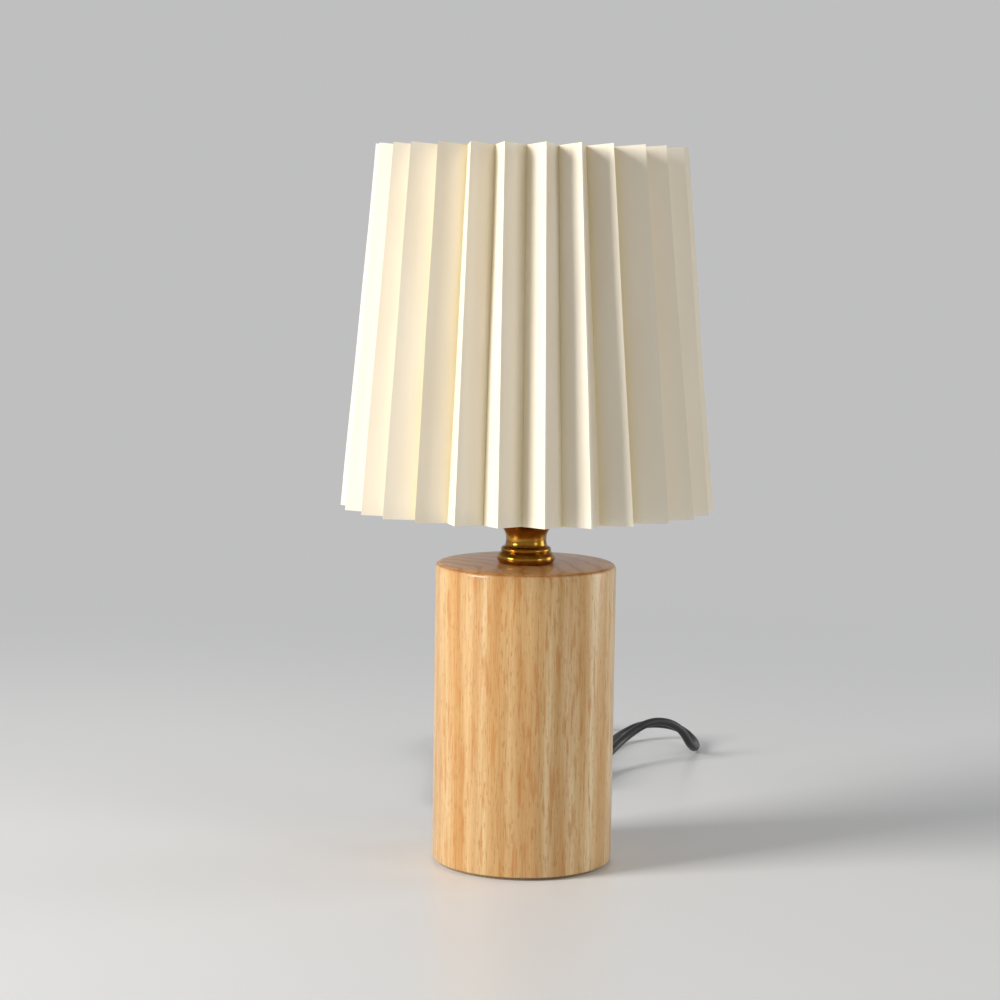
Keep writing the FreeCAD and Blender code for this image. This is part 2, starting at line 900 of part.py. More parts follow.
turned("bulb_body", [
    (cap_inner - bulb_wall, cap_low + 4.0),
    (cap_inner - seat, cap_low + 4.0),
    (cap_inner - seat, cap_top),
    (cap_crest + 0.6, cap_top),
    (cap_crest + 0.6, cap_top + 3.0),
    (mouth_radius, body_top, flare),
    (mouth_radius - bulb_wall, body_top),
    (mouth_radius - bulb_wall - 0.6, board_low - 1.0),
    (cap_inner - bulb_wall, cap_top + 4.0, -flare),
])
turned("bulb_led_board", [
    (0, board_low),
    (mouth_radius - bulb_wall - 1.4, board_low),
    (mouth_radius - bulb_wall - 1.4, board_low + size("bulb_board")),
    (0, board_low + size("bulb_board")),
])
globe_radius = size("bulb_dia") / 2
globe_low = body_top
globe_rise = Size(
    math.sqrt(globe_radius ** 2 - mouth_radius ** 2),
    "sqrt((Sizes.bulb_dia / 2) ^ 2 - (Sizes.bulb_mouth_dia / 2) ^ 2)")
globe_centre = globe_low + globe_rise
globe_inner = globe_radius - bulb_wall
inner_rise = Size(
    math.sqrt(globe_inner ** 2 - (mouth_radius - bulb_wall) ** 2),
    "sqrt((Sizes.bulb_dia / 2 - Sizes.bulb_wall) ^ 2"
    " - (Sizes.bulb_mouth_dia / 2 - Sizes.bulb_wall) ^ 2)")
turned("bulb_globe", [
    (mouth_radius, globe_low),
    (globe_radius, globe_centre, globe_radius),
    (0, globe_centre + globe_radius, globe_radius),
    (0, globe_centre + globe_inner),
    (globe_inner, globe_centre, -globe_inner),
    (mouth_radius - bulb_wall, globe_centre - inner_rise, -globe_inner),
    (mouth_radius - bulb_wall, globe_low),
])
globe_top = globe_centre + globe_radius

# ---------------------------------------------------------------- folded paper shade

shade_low = float(size("shade_bottom"))
shade_rise = float(size("shade_height"))
shade_top = shade_low + shade_rise
pleat_depth = float(size("pleat_depth"))
paper = float(size("paper"))
bottom_radius = float(size("shade_bottom_dia")) / 2
top_radius = float(size("shade_top_dia")) / 2
fold_step = math.pi / PLEATS
frame_wire = float(size("frame_wire"))


def paper_inset(radius):
    """How far in the paper's inner side lies, measured along the radius."""
    half_width = (radius - pleat_depth / 2) * fold_step
    return paper * math.hypot(half_width, pleat_depth) / half_width


def outer_radius(height):
    """The radius of the outer folds at a height."""
    share = (height - shade_low) / shade_rise
    return bottom_radius + (top_radius - bottom_radius) * share


def fold_corner(radius, fold, height, rise):
    """The corner of one fold at a rim: the even ones are peaks and the odd ones valleys."""
    angle = math.radians(PLEAT_PHASE) + fold_step * fold
    is_peak = fold % 2 == 0
    reach = radius if is_peak else radius - pleat_depth
    lift = rise if is_peak else 0.0
    return Vector(reach * math.sin(angle), -reach * math.cos(angle), height + lift)


def fold_ring(radius, height, rise):
    """The straight edges from fold to fold, all the way round one rim."""
    corners = [fold_corner(radius, fold, height, rise) for fold in range(2 * PLEATS)]
    return [
        Part.LineSegment(corner, corners[(index + 1) % len(corners)]).toShape()
        for index, corner in enumerate(corners)
    ]


bottom_rise = float(size("bottom_peak_rise"))
top_rise = float(size("top_peak_rise"))
rings = [
    fold_ring(bottom_radius, shade_low, bottom_rise),
    fold_ring(top_radius, shade_top, top_rise),
    fold_ring(top_radius - paper_inset(top_radius), shade_top, top_rise),
    fold_ring(bottom_radius - paper_inset(bottom_radius), shade_low, bottom_rise),
]
folds = []
for ring, next_ring in zip(rings, rings[1:] + rings[:1]):
    folds += [Part.makeRuledSurface(edge, above) for edge, above in zip(ring, next_ring)]
pleats = Part.makeSolid(Part.Shell(folds))
if pleats.Volume < 0:
    pleats.reverse()
shaped("shade_pleats", pleats)

# ---------------------------------------------------------------- wire frame of the shade


def frame_ring_radius(height):
    """The middle of a frame ring that lies just inside the valleys at a height."""
    valley = outer_radius(height) - pleat_depth - paper_inset(outer_radius(height))
    return valley - frame_wire / 2 - float(seat)


low_ring_height = shade_low + float(size("bottom_ring_rise"))
high_ring_height = shade_top - float(size("top_ring_drop"))
frame_rings = {}
for label, height in (("shade_bottom_ring", low_ring_height),
                      ("shade_top_ring", high_ring_height)):
    ring = doc.addObject("Part::Torus", "Ring")
    bind(ring, "Radius2", size("frame_wire") / 2)
    ring.Radius1 = frame_ring_radius(height)
    ring.Placement = FreeCAD.Placement(Vector(0, 0, height), FreeCAD.Rotation())
    frame_rings[label] = node(ring, label)
doc.recompute()

turned("fitter_ring", [
    (barrel_radius + size("fitter_bore_gap"), fitter_low),
    (size("fitter_dia") / 2, fitter_low),
    (size("fitter_dia") / 2, fitter_top),
    (barrel_radius + size("fitter_bore_gap"), fitter_top),
])

# Three arms are welded between the fitter's rim and the bottom ring.
fitter_edge = float(size("fitter_dia")) / 2
arm_start = Vector(fitter_edge - frame_wire, 0, float(fitter_low + size("fitter_thick") / 2))
arm_end = Vector(frame_ring_radius(low_ring_height), 0, low_ring_height)
arm = Part.makeCylinder(frame_wire / 2, (arm_end - arm_start).Length, arm_start,
                        arm_end - arm_start)
arm = arm.cut(Part.makeCylinder(fitter_edge, 2 * fitter_edge,
                                Vector(0, 0, float(fitter_low) - fitter_edge)))
arm = arm.cut(frame_rings["shade_bottom_ring"].Shape)
arm = max(arm.Solids, key=lambda solid: solid.Volume)
arms = []
for number in range(ARMS):
    copy = arm.copy()
    copy.rotate(Vector(), Vector(0, 0, 1), 30 + number * 360 / ARMS)
    arms.append(copy)
shaped("spider_arms", Part.makeCompound(arms))

# ---------------------------------------------------------------- switch on the lead

# Built along its own X axis with its underside at z = 0, then laid on the table.
switch_length = size("switch_length")
switch_width = size("switch_width")
switch_height = size("switch_height")
switch_wall = size("switch_wall")
split = switch_height / 2
sleeve_hole = size("sleeve_root_dia") - 2 * 0.6
window_length = Size(
    2 * math.hypot(size("rocker_length") / 2, size("rocker_rise") + 1.4),
    "2 * sqrt((Sizes.rocker_length / 2) ^ 2 + (Sizes.rocker_rise + 1.4) ^ 2)") - 0.4
window_width = size("rocker_width") + 2 * size("window_gap")
pivot_height = switch_height + 0.3 - size("rocker_rise")
post_x = switch_length / 2 - size("post_inset")
SWITCH_SPOT = FreeCAD.Placement(
    Vector(*SWITCH_PLACE, 0), FreeCAD.Rotation(Vector(0, 0, 1), SWITCH_HEADING))


def upright(edge):
    return abs(edge.tangentAt(edge.FirstParameter).z) > 0.9


def edge_at(height):
    return lambda edge: abs(edge.BoundBox.ZMin - height) < 0.01 and edge.BoundBox.ZLength < 0.01


def half_case(low, floor_side):
    """One half of the switch's case: a tray with round ends, hollow towards the split."""
    corner = size("switch_corner")
    blank = rounded(box(switch_length, switch_width, split, z=low), corner, upright)
    face = float(low) if floor_side < 0 else float(low + split)
    blank = rounded(blank, 1.6, edge_at(face))
    hollow_low = low + switch_wall if floor_side < 0 else low
    hollow = rounded(
        box(switch_length - 2 * switch_wall, switch_width - 2 * switch_wall,
            split - switch_wall, z=hollow_low),
        corner - switch_wall, upright)
    lead_way = cylinder(sleeve_hole, switch_length + 2, x=-switch_length / 2 - 1, z=split,
                        turn=ALONG_X)
    return cut(blank, hollow, lead_way)


screw_clear = size("screw_dia") + 2 * seat
post_sides = (1, -1)
low_posts = [
    cylinder(size("post_dia"), split - switch_wall, x=side * post_x, y=side * 7.0, z=switch_wall)
    for side in post_sides
]
low_case = fuse(half_case(Size(0.0, "0"), -1), *low_posts)
low_holes = []
for side in post_sides:
    low_holes.append(cylinder(screw_clear, split + 1, x=side * post_x, y=side * 7.0, z=-0.5))
    low_holes.append(cylinder(size("screw_head_dia") + 2 * seat, size("screw_head") + 0.4,
                              x=side * post_x, y=side * 7.0, z=0))
node(cut(low_case, *low_holes), "switch_base", SWITCH_SPOT)

ear_y = window_width / 2 + size("ear_thick") / 2
ear_low = switch_height - switch_wall - size("ear_drop")
high_posts = [
    cylinder(size("post_dia"), split - switch_wall, x=side * post_x, y=side * 7.0, z=split)
    for side in post_sides
]
ears = [
    box(size("ear_length"), size("ear_thick"), size("ear_drop") + 0.5, y=side * ear_y,
        z=ear_low)
    for side in post_sides
]
high_case = fuse(half_case(split, 1), *high_posts, *ears)
window = box(window_length, window_width, switch_height, z=split)
axle_hole = cylinder(size("pin_dia") + 2 * seat, window_width + 2 * size("ear_thick") - 0.6,
                     y=-(window_width / 2 + size("ear_thick") - 0.3), z=pivot_height,
                     turn=ALONG_Y)
screw_reach = split - switch_wall - 1.0
thread_holes = [
    cylinder(size("screw_dia"), screw_reach, x=side * post_x, y=side * 7.0, z=split)
    for side in post_sides
]
node(cut(high_case, window, axle_hole, *thread_holes), "switch_cover", SWITCH_SPOT)

# Two screws from below hold the halves together.
screws = []
for side in post_sides:
    head = cylinder(size("screw_head_dia"), size("screw_head"), x=side * post_x, y=side * 7.0,
                    z=0.4)
    shank = cylinder(size("screw_dia"), split + screw_reach - 0.4 - size("screw_head"),
                     x=side * post_x, y=side * 7.0, z=0.4 + size("screw_head"))
    screws.append(fuse(head, shank))
node(group(*screws), "switch_screws", SWITCH_SPOT)

# The rocker leans on its pins, with one wing level with the case and the other standing up.
rocker = new_body("switch_rocker")
rocker_half = size("rocker_length") / 2
wing_rise = Size(
    float(rocker_half) * math.tan(math.radians(size("rocker_slope"))),
    "Sizes.rocker_length / 2 * tan(Sizes.rocker_slope * 1deg)")
rocker_sketch = new_sketch(rocker, "XZ_Plane", -size("rocker_width") / 2)
draw_outline(rocker_sketch, [
    (-rocker_half, size("rocker_foot")),
    (-size("rocker_belly") * 2.6, -size("rocker_belly")),
    (size("rocker_belly") * 2.6, -size("rocker_belly")),
    (rocker_half, size("rocker_foot")),
    (rocker_half, size("rocker_rise") + wing_rise),
    (0, size("rocker_rise")),
    (-rocker_half, size("rocker_rise") + wing_rise),
])
rocker_pad = rocker.newObject("PartDesign::Pad", "Pad")
rocker_pad.Profile = rocker_sketch
bind(rocker_pad, "Length", size("rocker_width"))
doc.recompute()
pin_span = size("rocker_width") + 2 * size("pin_length")
pin_sketch = new_sketch(rocker, "XZ_Plane", -pin_span / 2)
draw_circle(pin_sketch, 0, 0, size("pin_dia"))
pin_pad = rocker.newObject("PartDesign::Pad", "Pad")
pin_pad.Profile = pin_sketch
bind(pin_pad, "Length", pin_span)
doc.recompute()
lean = FreeCAD.Placement(
    Vector(0, 0, float(pivot_height)),
    FreeCAD.Rotation(Vector(0, 1, 0), -float(size("rocker_slope"))))
rocker.Placement = SWITCH_SPOT.multiply(lean)
doc.recompute()

# Rubber sleeves where the lead passes into the case, turned about the switch's length.
sleeve_seat = switch_length / 2
sleeve_end = sleeve_seat + size("sleeve_length")
case_inner = switch_length / 2 - switch_wall
sleeve_outline = [
    (cord_radius, case_inner - seat - size("sleeve_flange")),
    (size("sleeve_flange_dia") / 2, case_inner - seat - size("sleeve_flange")),
    (size("sleeve_flange_dia") / 2, case_inner - seat),
    (sleeve_hole / 2 - seat, case_inner - seat),
    (sleeve_hole / 2 - seat, sleeve_seat),
    (size("sleeve_root_dia") / 2, sleeve_seat),
    (size("sleeve_tip_dia") / 2, sleeve_end),
    (cord_radius, sleeve_end),
]
stub_start = case_inner - 6.0
stub_outline = [
    (0, stub_start),
    (cord_radius, stub_start),
    (cord_radius, sleeve_end),
    (0, sleeve_end),
]
for name, outline in (("switch_sleeve", sleeve_outline), ("switch_stub", stub_outline)):
    for end, heading in (("in", 180), ("out", 0)):
        piece = turned(f"{name}_{end}", outline)
        towards = FreeCAD.Placement(
            Vector(0, 0, float(split)),
            FreeCAD.Rotation(Vector(0, 0, 1), heading).multiply(ALONG_X))
        piece.Placement = SWITCH_SPOT.multiply(towards)

# Brass blocks that clamp the cores, and the bridge under the rocker that joins them.
block = size("terminal_block")
block_x = size("terminal_reach")
bridge_low = switch_wall + block
blocks = [
    box(block, block, block, x=side * block_x, z=switch_wall)
    for side in post_sides
]
bridge = box(2 * block_x + block, block - 2.0, 0.6, z=bridge_low)
node(group(*blocks, bridge), "switch_contacts", SWITCH_SPOT)

# ---------------------------------------------------------------- lead on the table

lead_height = cord_radius + size("cord_ground_gap")
coil_low = cord_radius + size("tie_thick") + size("cord_ground_gap") + 0.2
coil_pitch = size("cord_dia") + size("coil_gap")
coil_high = coil_low + size("cord_dia") + size("layer_gap")
coil_outer = size("coil_inner") + coil_pitch * COIL_TURNS_IN
floor = round(float(lead_height), 2)


def switch_end(side):
    """Where the lead meets a sleeve of the switch: side 1 is nearer the base."""
    tip = Vector(side * float(sleeve_end), 0, float(split))
    return tuple(SWITCH_SPOT.multVec(tip))


coil_start = (COIL_PLACE[0] - coil_outer, COIL_PLACE[1] - size("cord_dia"), coil_low)
coil_end = (COIL_PLACE[0] - coil_outer, COIL_PLACE[1] + size("cord_dia"), coil_high)
plug_axis = size("plug_thick") / 2
plug_start = (PLUG_PLACE[0], PLUG_PLACE[1], plug_axis)

# From the boot it passes to the right of the switch, arches up beside the base, turns
# back on itself with its bend resting on the table, and comes back to the switch.
LEAD_ROUTE = [
    (0, float(boot_tip), float(cord_height)),
    (0, 90, 9.5),
    (10, 112, 7),
    (28, 138, 4),
    (42, 168, 4),
    (49, 198, 8),
    (63, 221, 17),
    (79, 228, 26),
    (96, 236, 21),
    (105, 249, 3.5),
    (110, 270.5, floor),
    (99.3, 288, 10),
    (78, 292, 11),
    (61, 281, 4.5),
    (51, 251, floor),
    (42.5, 235, 5),
    (34.9, 219.8, 8.5),
    switch_end(-1),
]
# From the switch it turns round to the left and runs straight back into the coil.
LINK_ROUTE = [
    switch_end(1),
    (-3.9, 107.3, 8.5),
    (-18.2, 99, 4.5),
    (-34.7, 101.7, floor),
    (-45.8, 114.5, floor),
    (-45.5, 141, floor),
    (-44, 170, floor),
    (-44.5, 198, floor),
    (-45.45, 221, 3.3),
    coil_start,
]
# From the top of the coil it comes down to the table and turns into the plug.
TAIL_ROUTE = [
    coil_end,
    (-45.45, 265, 8.7),
    (-45.5, 288.5, 3),
    (-39, 299.5, 3),
    (-28, 306, 6.3),
    plug_start,
]
cord_dia = float(size("cord_dia"))
total = 0.0
for label, route in (("cord_lead", LEAD_ROUTE), ("cord_link", LINK_ROUTE),
                     ("cord_tail", TAIL_ROUTE)):
    total += lead(label, route, cord_dia)[1]

# ---------------------------------------------------------------- coil of lead


def arc_from(start, heading, end):
    """The arc that leaves start along heading and reaches end."""
    chord = end - start
    along = chord.dot(heading)
    side = chord - heading * along
    side = unit(side)
    across = chord.dot(side)
    radius = chord.dot(chord) / (2 * across)
    sweep = 2 * math.atan2(across, along)
    centre = start + side * radius
    middle = centre - side * radius * math.cos(sweep / 2) + heading * radius * math.sin(sweep / 2)
    return Part.Arc(start, middle, end).toShape()


def biarc(start, heading, end, end_heading):
    """Two arcs that leave start along heading and arrive at end along end_heading."""
    chord = end - start
    both = heading + end_heading
    spread = 2 * (1 - heading.dot(end_heading))
    along = chord.dot(both)
    arm = (math.sqrt(along * along + spread * chord.dot(chord)) - along) / spread
    meeting = (start + heading * arm + end - end_heading * arm) / 2
    first = arc_from(start, heading, meeting)
    last = arc_from(end, end_heading * -1, meeting)
    return [first, last]


inner = float(size("coil_inner"))
pitch = float(coil_pitch)
outer = float(coil_outer)
low_z = float(coil_low)
high_z = float(coil_high)
turns_total = 2 * COIL_TURNS_IN + 0.5


def coil_point(turn):
    """A point of the coil's middle line, from 0 at its start to turns_total at its end.

    It spirals in on the table, climbs in half a turn, and spirals out on top.
    """
    angle = math.pi - 2 * math.pi * turn
    if turn <= COIL_TURNS_IN:
        radius, height = outer - pitch * turn, low_z
    elif turn <= COIL_TURNS_IN + 0.5:
        share = (turn - COIL_TURNS_IN) / 0.5
        radius, height = inner, low_z + (high_z - low_z) * (1 - math.cos(math.pi * share)) / 2
    else:
        radius, height = inner + pitch * (turn - COIL_TURNS_IN - 0.5), high_z
    return Vector(COIL_PLACE[0] + radius * math.cos(angle),
                  COIL_PLACE[1] + radius * math.sin(angle), height)


def coil_heading(turn):
    step = 1e-4
    before = max(turn - step, 0.0)
    after = min(turn + step, turns_total)
    return unit(coil_point(after) - coil_point(before))


start_run = Part.LineSegment(Vector(*coil_start), coil_point(0)).toShape()
coil_edges = [start_run]
quarters = round(turns_total * 4)
headings = [coil_heading(quarter / 4) for quarter in range(quarters + 1)]
headings[0] = headings[-1] = Vector(0, 1, 0)
for quarter in range(quarters):
    coil_edges += biarc(coil_point(quarter / 4), headings[quarter],
                        coil_point((quarter + 1) / 4), headings[quarter + 1])
coil_edges.append(Part.LineSegment(coil_point(turns_total), Vector(*coil_end)).toShape())
coil_path = Part.Wire(Part.__sortEdges__(coil_edges))
coil = tube_along(coil_path, Vector(*coil_start), Vector(0, 1, 0), cord_dia / 2)
shaped("cord_coil", coil)
total += coil_path.Length
print(f"cord_coil: length {coil_path.Length:.1f}, volume"
      f" {coil.Volume / (math.pi * cord_dia ** 2 / 4 * coil_path.Length):.4f}"
      f" of section times length, from radius {inner:.1f} to {outer:.1f}")
print(f"whole lead from boot to plug, with the switch: {total + 2 * sleeve_end:.0f}")

# The least gap between two turns is measured on points along the middle line.
samples = 720
middle_line = [coil_point(turns_total * i / samples) for i in range(samples + 1)]
apart = round(samples / turns_total * 0.6)
least = min(
    (middle_line[i] - middle_line[j]).Length
    for i in range(samples + 1)
    for j in range(i + apart, samples + 1)
)
print(f"cord_coil: least gap between its turns {least - cord_dia:.2f}")
assert least - cord_dia > 0.4

# Hook-and-loop strap round the turns on the coil's near side.
tie_width = float(size("tie_width"))
tie_inside = math.sqrt((inner - cord_dia / 2) ** 2 - (tie_width / 2) ** 2) - 0.4
tie_outside = outer + cord_dia / 2 + 0.4
tie_low = float(size("tie_thick"))
tie_high = high_z + cord_dia / 2 + 0.3
tie_thick = float(size("tie_thick"))


def tie_block(grow):
    """The block round the turns that the strap passes, grown by its thickness."""
    return Part.makeBox(
        tie_width, tie_outside - tie_inside + 2 * grow, tie_high - tie_low + 2 * grow,
        Vector(COIL_PLACE[0] - tie_width / 2, COIL_PLACE[1] - tie_outside - grow,
               tie_low - grow))


shaped("coil_strap", tie_block(tie_thick).cut(tie_block(0)))

# ---------------------------------------------------------------- plug

# Moulded in one piece round its two prongs. It lies flat, with its prongs to the right.
plug_width = size("plug_width")
plug_body_start = size("plug_tail")
plug_face = plug_body_start + size("plug_body")
PLUG_SPOT = FreeCAD.Placement(Vector(*PLUG_PLACE, float(plug_axis)), FreeCAD.Rotation())


def plug_section(x, width, thick):
    """A flat hexagon across the plug at a distance from its tail's tip."""
    half_width = float(width) / 2
    half_thick = float(thick) / 2
    edge = half_width - float(thick) * 0.42
    corners = [
        (half_width, 0), (edge, half_thick), (-edge, half_thick),
        (-half_width, 0), (-edge, -half_thick), (edge, -half_thick),
    ]
    points = [Vector(float(x), y, z) for y, z in corners]
    return Part.makePolygon(points + points[:1])


plug_sections = [
    plug_section(plug_body_start, size("plug_back_width"), size("plug_back_thick")),
    plug_section(plug_body_start + size("plug_body") * 0.45, plug_width * 0.8,
                 size("plug_thick")),
    plug_section(plug_face, plug_width, size("plug_thick")),
]
plug_solid = Part.makeLoft(plug_sections, True, True)
tail_cone = Part.makeCone(
    float(size("plug_tip_dia")) / 2, float(size("plug_tail_dia")) / 2,
    float(plug_body_start) + 1, Vector(), Vector(1, 0, 0))
plug_solid = plug_solid.fuse(tail_cone).removeSplitter()
prong_depth = float(size("prong_depth"))
prong_start = float(plug_face) - prong_depth
prong_y = float(size("prong_spacing")) / 2
prong_radius = float(size("prong_dia")) / 2
sleeve_radius = float(size("prong_sleeve_dia")) / 2
prong_end = float(plug_face) + float(size("prong_length"))
sleeve_stop = float(plug_face) + float(size("prong_sleeve"))
prongs = []
prong_sleeves = []
for side in (1, -1):
    root = Vector(prong_start, side * prong_y, 0)
    core = Part.makeCylinder(sleeve_radius - 0.6, sleeve_stop - prong_start, root,
                             Vector(1, 0, 0))
    tip = Part.makeCylinder(prong_radius, prong_end - sleeve_stop,
                            Vector(sleeve_stop, side * prong_y, 0), Vector(1, 0, 0))
    prongs.append(core.fuse(tip).removeSplitter())
    sleeve = Part.makeCylinder(sleeve_radius, sleeve_stop - prong_start, root,
                               Vector(1, 0, 0))
    plug_solid = plug_solid.cut(sleeve)
    prong_sleeves.append(sleeve.cut(core))
shaped("plug_body", plug_solid, PLUG_SPOT)
shaped("plug_prongs", Part.makeCompound(prongs), PLUG_SPOT)
shaped("prong_sleeves", Part.makeCompound(prong_sleeves), PLUG_SPOT)

# ---------------------------------------------------------------- check and write

doc.recompute()
for obj in doc.Objects:
    faults = {"Invalid", "Error"} & set(obj.State)
    assert not faults, f"{obj.Name} {obj.Label}: {faults}"
for piece in NODES:
    assert not piece.Shape.isNull() and piece.Shape.isValid(), piece.Label
    assert piece.Shape.Volume > 0, piece.Label
assert len({piece.Label for piece in NODES}) == len(NODES) <= 60
for piece in NODES:
    piece.Shape.exportStep(f"parts/{piece.Label}.step")
print(f"{len(NODES)} sub-parts written")
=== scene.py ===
import math

import bmesh
import bpy
from mathutils import Matrix, Vector, noise


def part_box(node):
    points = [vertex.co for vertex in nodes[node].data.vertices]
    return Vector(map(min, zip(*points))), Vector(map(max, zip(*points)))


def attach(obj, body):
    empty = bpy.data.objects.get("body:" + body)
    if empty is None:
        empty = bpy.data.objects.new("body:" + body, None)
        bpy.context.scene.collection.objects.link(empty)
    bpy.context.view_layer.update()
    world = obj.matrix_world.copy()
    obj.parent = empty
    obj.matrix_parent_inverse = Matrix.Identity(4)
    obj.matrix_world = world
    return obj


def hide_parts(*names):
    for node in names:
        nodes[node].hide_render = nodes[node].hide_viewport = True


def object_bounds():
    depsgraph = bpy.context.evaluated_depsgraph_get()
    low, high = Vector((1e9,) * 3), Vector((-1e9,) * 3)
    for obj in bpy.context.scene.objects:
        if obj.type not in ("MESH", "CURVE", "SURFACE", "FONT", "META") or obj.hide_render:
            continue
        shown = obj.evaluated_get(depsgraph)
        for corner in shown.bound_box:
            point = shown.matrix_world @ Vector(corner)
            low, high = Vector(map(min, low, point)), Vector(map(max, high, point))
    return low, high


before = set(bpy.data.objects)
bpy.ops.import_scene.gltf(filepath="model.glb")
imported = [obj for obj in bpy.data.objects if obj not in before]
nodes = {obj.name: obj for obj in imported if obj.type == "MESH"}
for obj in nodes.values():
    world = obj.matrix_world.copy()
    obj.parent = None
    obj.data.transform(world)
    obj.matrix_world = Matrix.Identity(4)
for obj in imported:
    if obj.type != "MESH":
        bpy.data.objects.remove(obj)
cad_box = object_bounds()
scene = bpy.context.scene
scene.view_settings.view_transform = "Standard"

# ---------------------------------------------------------------- camera
# A 90 mm lens, 1.2 m in front of the lamp and level with the upper part of the shade. It
# looks down a little and leans by under a degree, as the photograph does.

CAMERA_SPOT = (-0.0133, -1.2329, 0.3212)

camera = bpy.data.objects.new("camera", bpy.data.cameras.new("camera"))
scene.collection.objects.link(camera)
camera.data.sensor_width = 36
camera.data.lens = 89.97
pitch = math.radians(6.4575)
lean = math.radians(0.8038)
forward = Vector((0, math.cos(pitch), -math.sin(pitch)))
level_up = Vector((0, math.sin(pitch), math.cos(pitch)))
right = Vector((1, 0, 0)) * math.cos(lean) + level_up * math.sin(lean)
above = level_up * math.cos(lean) - Vector((1, 0, 0)) * math.sin(lean)
camera.matrix_world = (
    Matrix.Translation(CAMERA_SPOT)
    @ Matrix((right, above, -forward)).transposed().to_4x4()
)
scene.camera = camera

# ---------------------------------------------------------------- mains lead
# Round two-core lead in black PVC, 4.8 mm thick, satin from the extruder. It leaves the
# base through the rubber boot, springs up beside the base, turns round and comes back to
# the switch.


def srgb(colour):
    """The linear value of an sRGB hex colour."""
    parts = [int(colour[i:i + 2], 16) / 255 for i in (1, 3, 5)]
    return (*[c / 12.92 if c <= 0.04045 else ((c + 0.055) / 1.055) ** 2.4 for c in parts], 1)


def new_material(name, **sockets):
    """A Principled material with its plain sockets set, and its node tree and shader."""
    material = bpy.data.materials.new(name)
    material.use_nodes = True
    tree = material.node_tree
    shader = tree.nodes["Principled BSDF"]
    for socket, value in sockets.items():
        shader.inputs[socket.replace("_", " ")].default_value = value
    return material, tree, shader


def put(tree, kind, settings=None, links=None):
    """Adds a shader node, with its settings, its sockets' values and its links."""
    node = tree.nodes.new("ShaderNode" + kind)
    for name, value in (settings or {}).items():
        setattr(node, name, value)
    for socket, value in (links or {}).items():
        if isinstance(value, bpy.types.NodeSocket):
            tree.links.new(value, node.inputs[socket])
        else:
            node.inputs[socket].default_value = value
    return node


def stops(ramp, *pairs):
    """Sets a colour ramp's stops from (place, colour) pairs."""
    elements = ramp.color_ramp.elements
    while len(elements) > len(pairs):
        elements.remove(elements[-1])
    while len(elements) < len(pairs):
        elements.new(1.0)
    for element, (place, colour) in zip(elements, pairs):
        element.position = place
        element.color = colour
    return ramp.outputs["Color"]


def grey(value):
    return (value, value, value, 1)


# Soft PVC: a fine even grain, and a sheen that varies slowly, over about 12 mm.
lead_pvc, tree, shader = new_material("black_pvc_extruded", IOR=1.53, Specular_IOR_Level=0.5)
place = put(tree, "TexCoord").outputs["Object"]
waves = put(tree, "TexNoise", None, {"Vector": place, "Scale": 80.0, "Detail": 2.0})
fine = put(tree, "TexNoise", None, {"Vector": place, "Scale": 900.0, "Detail": 3.0})
tree.links.new(stops(put(tree, "ValToRGB", None, {"Fac": waves.outputs["Fac"]}),
                     (0.3, srgb("#0E0E0F")), (0.7, srgb("#1B1B1C"))),
               shader.inputs["Base Color"])
tree.links.new(put(tree, "MapRange", None, {
    "Value": waves.outputs["Fac"], "From Min": 0.3, "From Max": 0.7,
    "To Min": 0.3, "To Max": 0.46}).outputs["Result"], shader.inputs["Roughness"])
tree.links.new(put(tree, "Bump", None, {
    "Strength": 0.25, "Distance": 0.0001, "Height": fine.outputs["Fac"]}).outputs["Normal"],
    shader.inputs["Normal"])

LEAD = 0.0048
SWITCH = Vector((0.016, 0.165, 0.0))
SWITCH_TURN = math.radians(-109)
SWITCH_AXIS = Vector((math.cos(SWITCH_TURN), math.sin(SWITCH_TURN), 0))
SLEEVE_END = 0.043
SLEEVE_HEIGHT = 0.0085
far_sleeve = SWITCH - SWITCH_AXIS * SLEEVE_END + Vector((0, 0, SLEEVE_HEIGHT))
near_sleeve = SWITCH + SWITCH_AXIS * SLEEVE_END + Vector((0, 0, SLEEVE_HEIGHT))


def lead_curve(name, points):
    """One NURBS curve through given points, round, with the lead's thickness."""
    curve = bpy.data.curves.new(name, "CURVE")
    curve.dimensions = "3D"
    curve.resolution_u = 10
    curve.bevel_depth = LEAD / 2
    curve.bevel_resolution = 5
    spline = curve.splines.new("NURBS")
    spline.points.add(len(points) - 1)
    for point, spot in zip(spline.points, points):
        point.co = (*spot, 1)
    spline.order_u = 3
    spline.use_endpoint_u = True
    lead = bpy.data.objects.new(name, curve)
    scene.collection.objects.link(lead)
    lead.data.materials.append(lead_pvc)
    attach(lead, "lamp")
    return lead


lead_to_switch = lead_curve("lead_to_switch", [
    (0.000, 0.0720, 0.0095),
    (0.000, 0.090, 0.0095),
    (0.010, 0.112, 0.007),
    (0.028, 0.138, 0.004),
    (0.042, 0.168, 0.004),
    (0.049, 0.198, 0.008),
    (0.063, 0.221, 0.017),
    (0.079, 0.228, 0.026),
    (0.096, 0.236, 0.021),
    (0.105, 0.249, 0.0035),
    (0.110, 0.2705, 0.0025),
    (0.0993, 0.288, 0.010),
    (0.078, 0.292, 0.011),
    (0.061, 0.281, 0.0045),
    (0.051, 0.251, 0.0025),
    (0.0425, 0.235, 0.005),
    (0.0349, 0.2198, 0.0085),
    tuple(far_sleeve),
])
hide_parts("cord_lead")

# From the switch the lead turns round to the left and runs back into a neat coil of five
# turns in two layers, which a strap holds. The coil is out of sight behind the base.

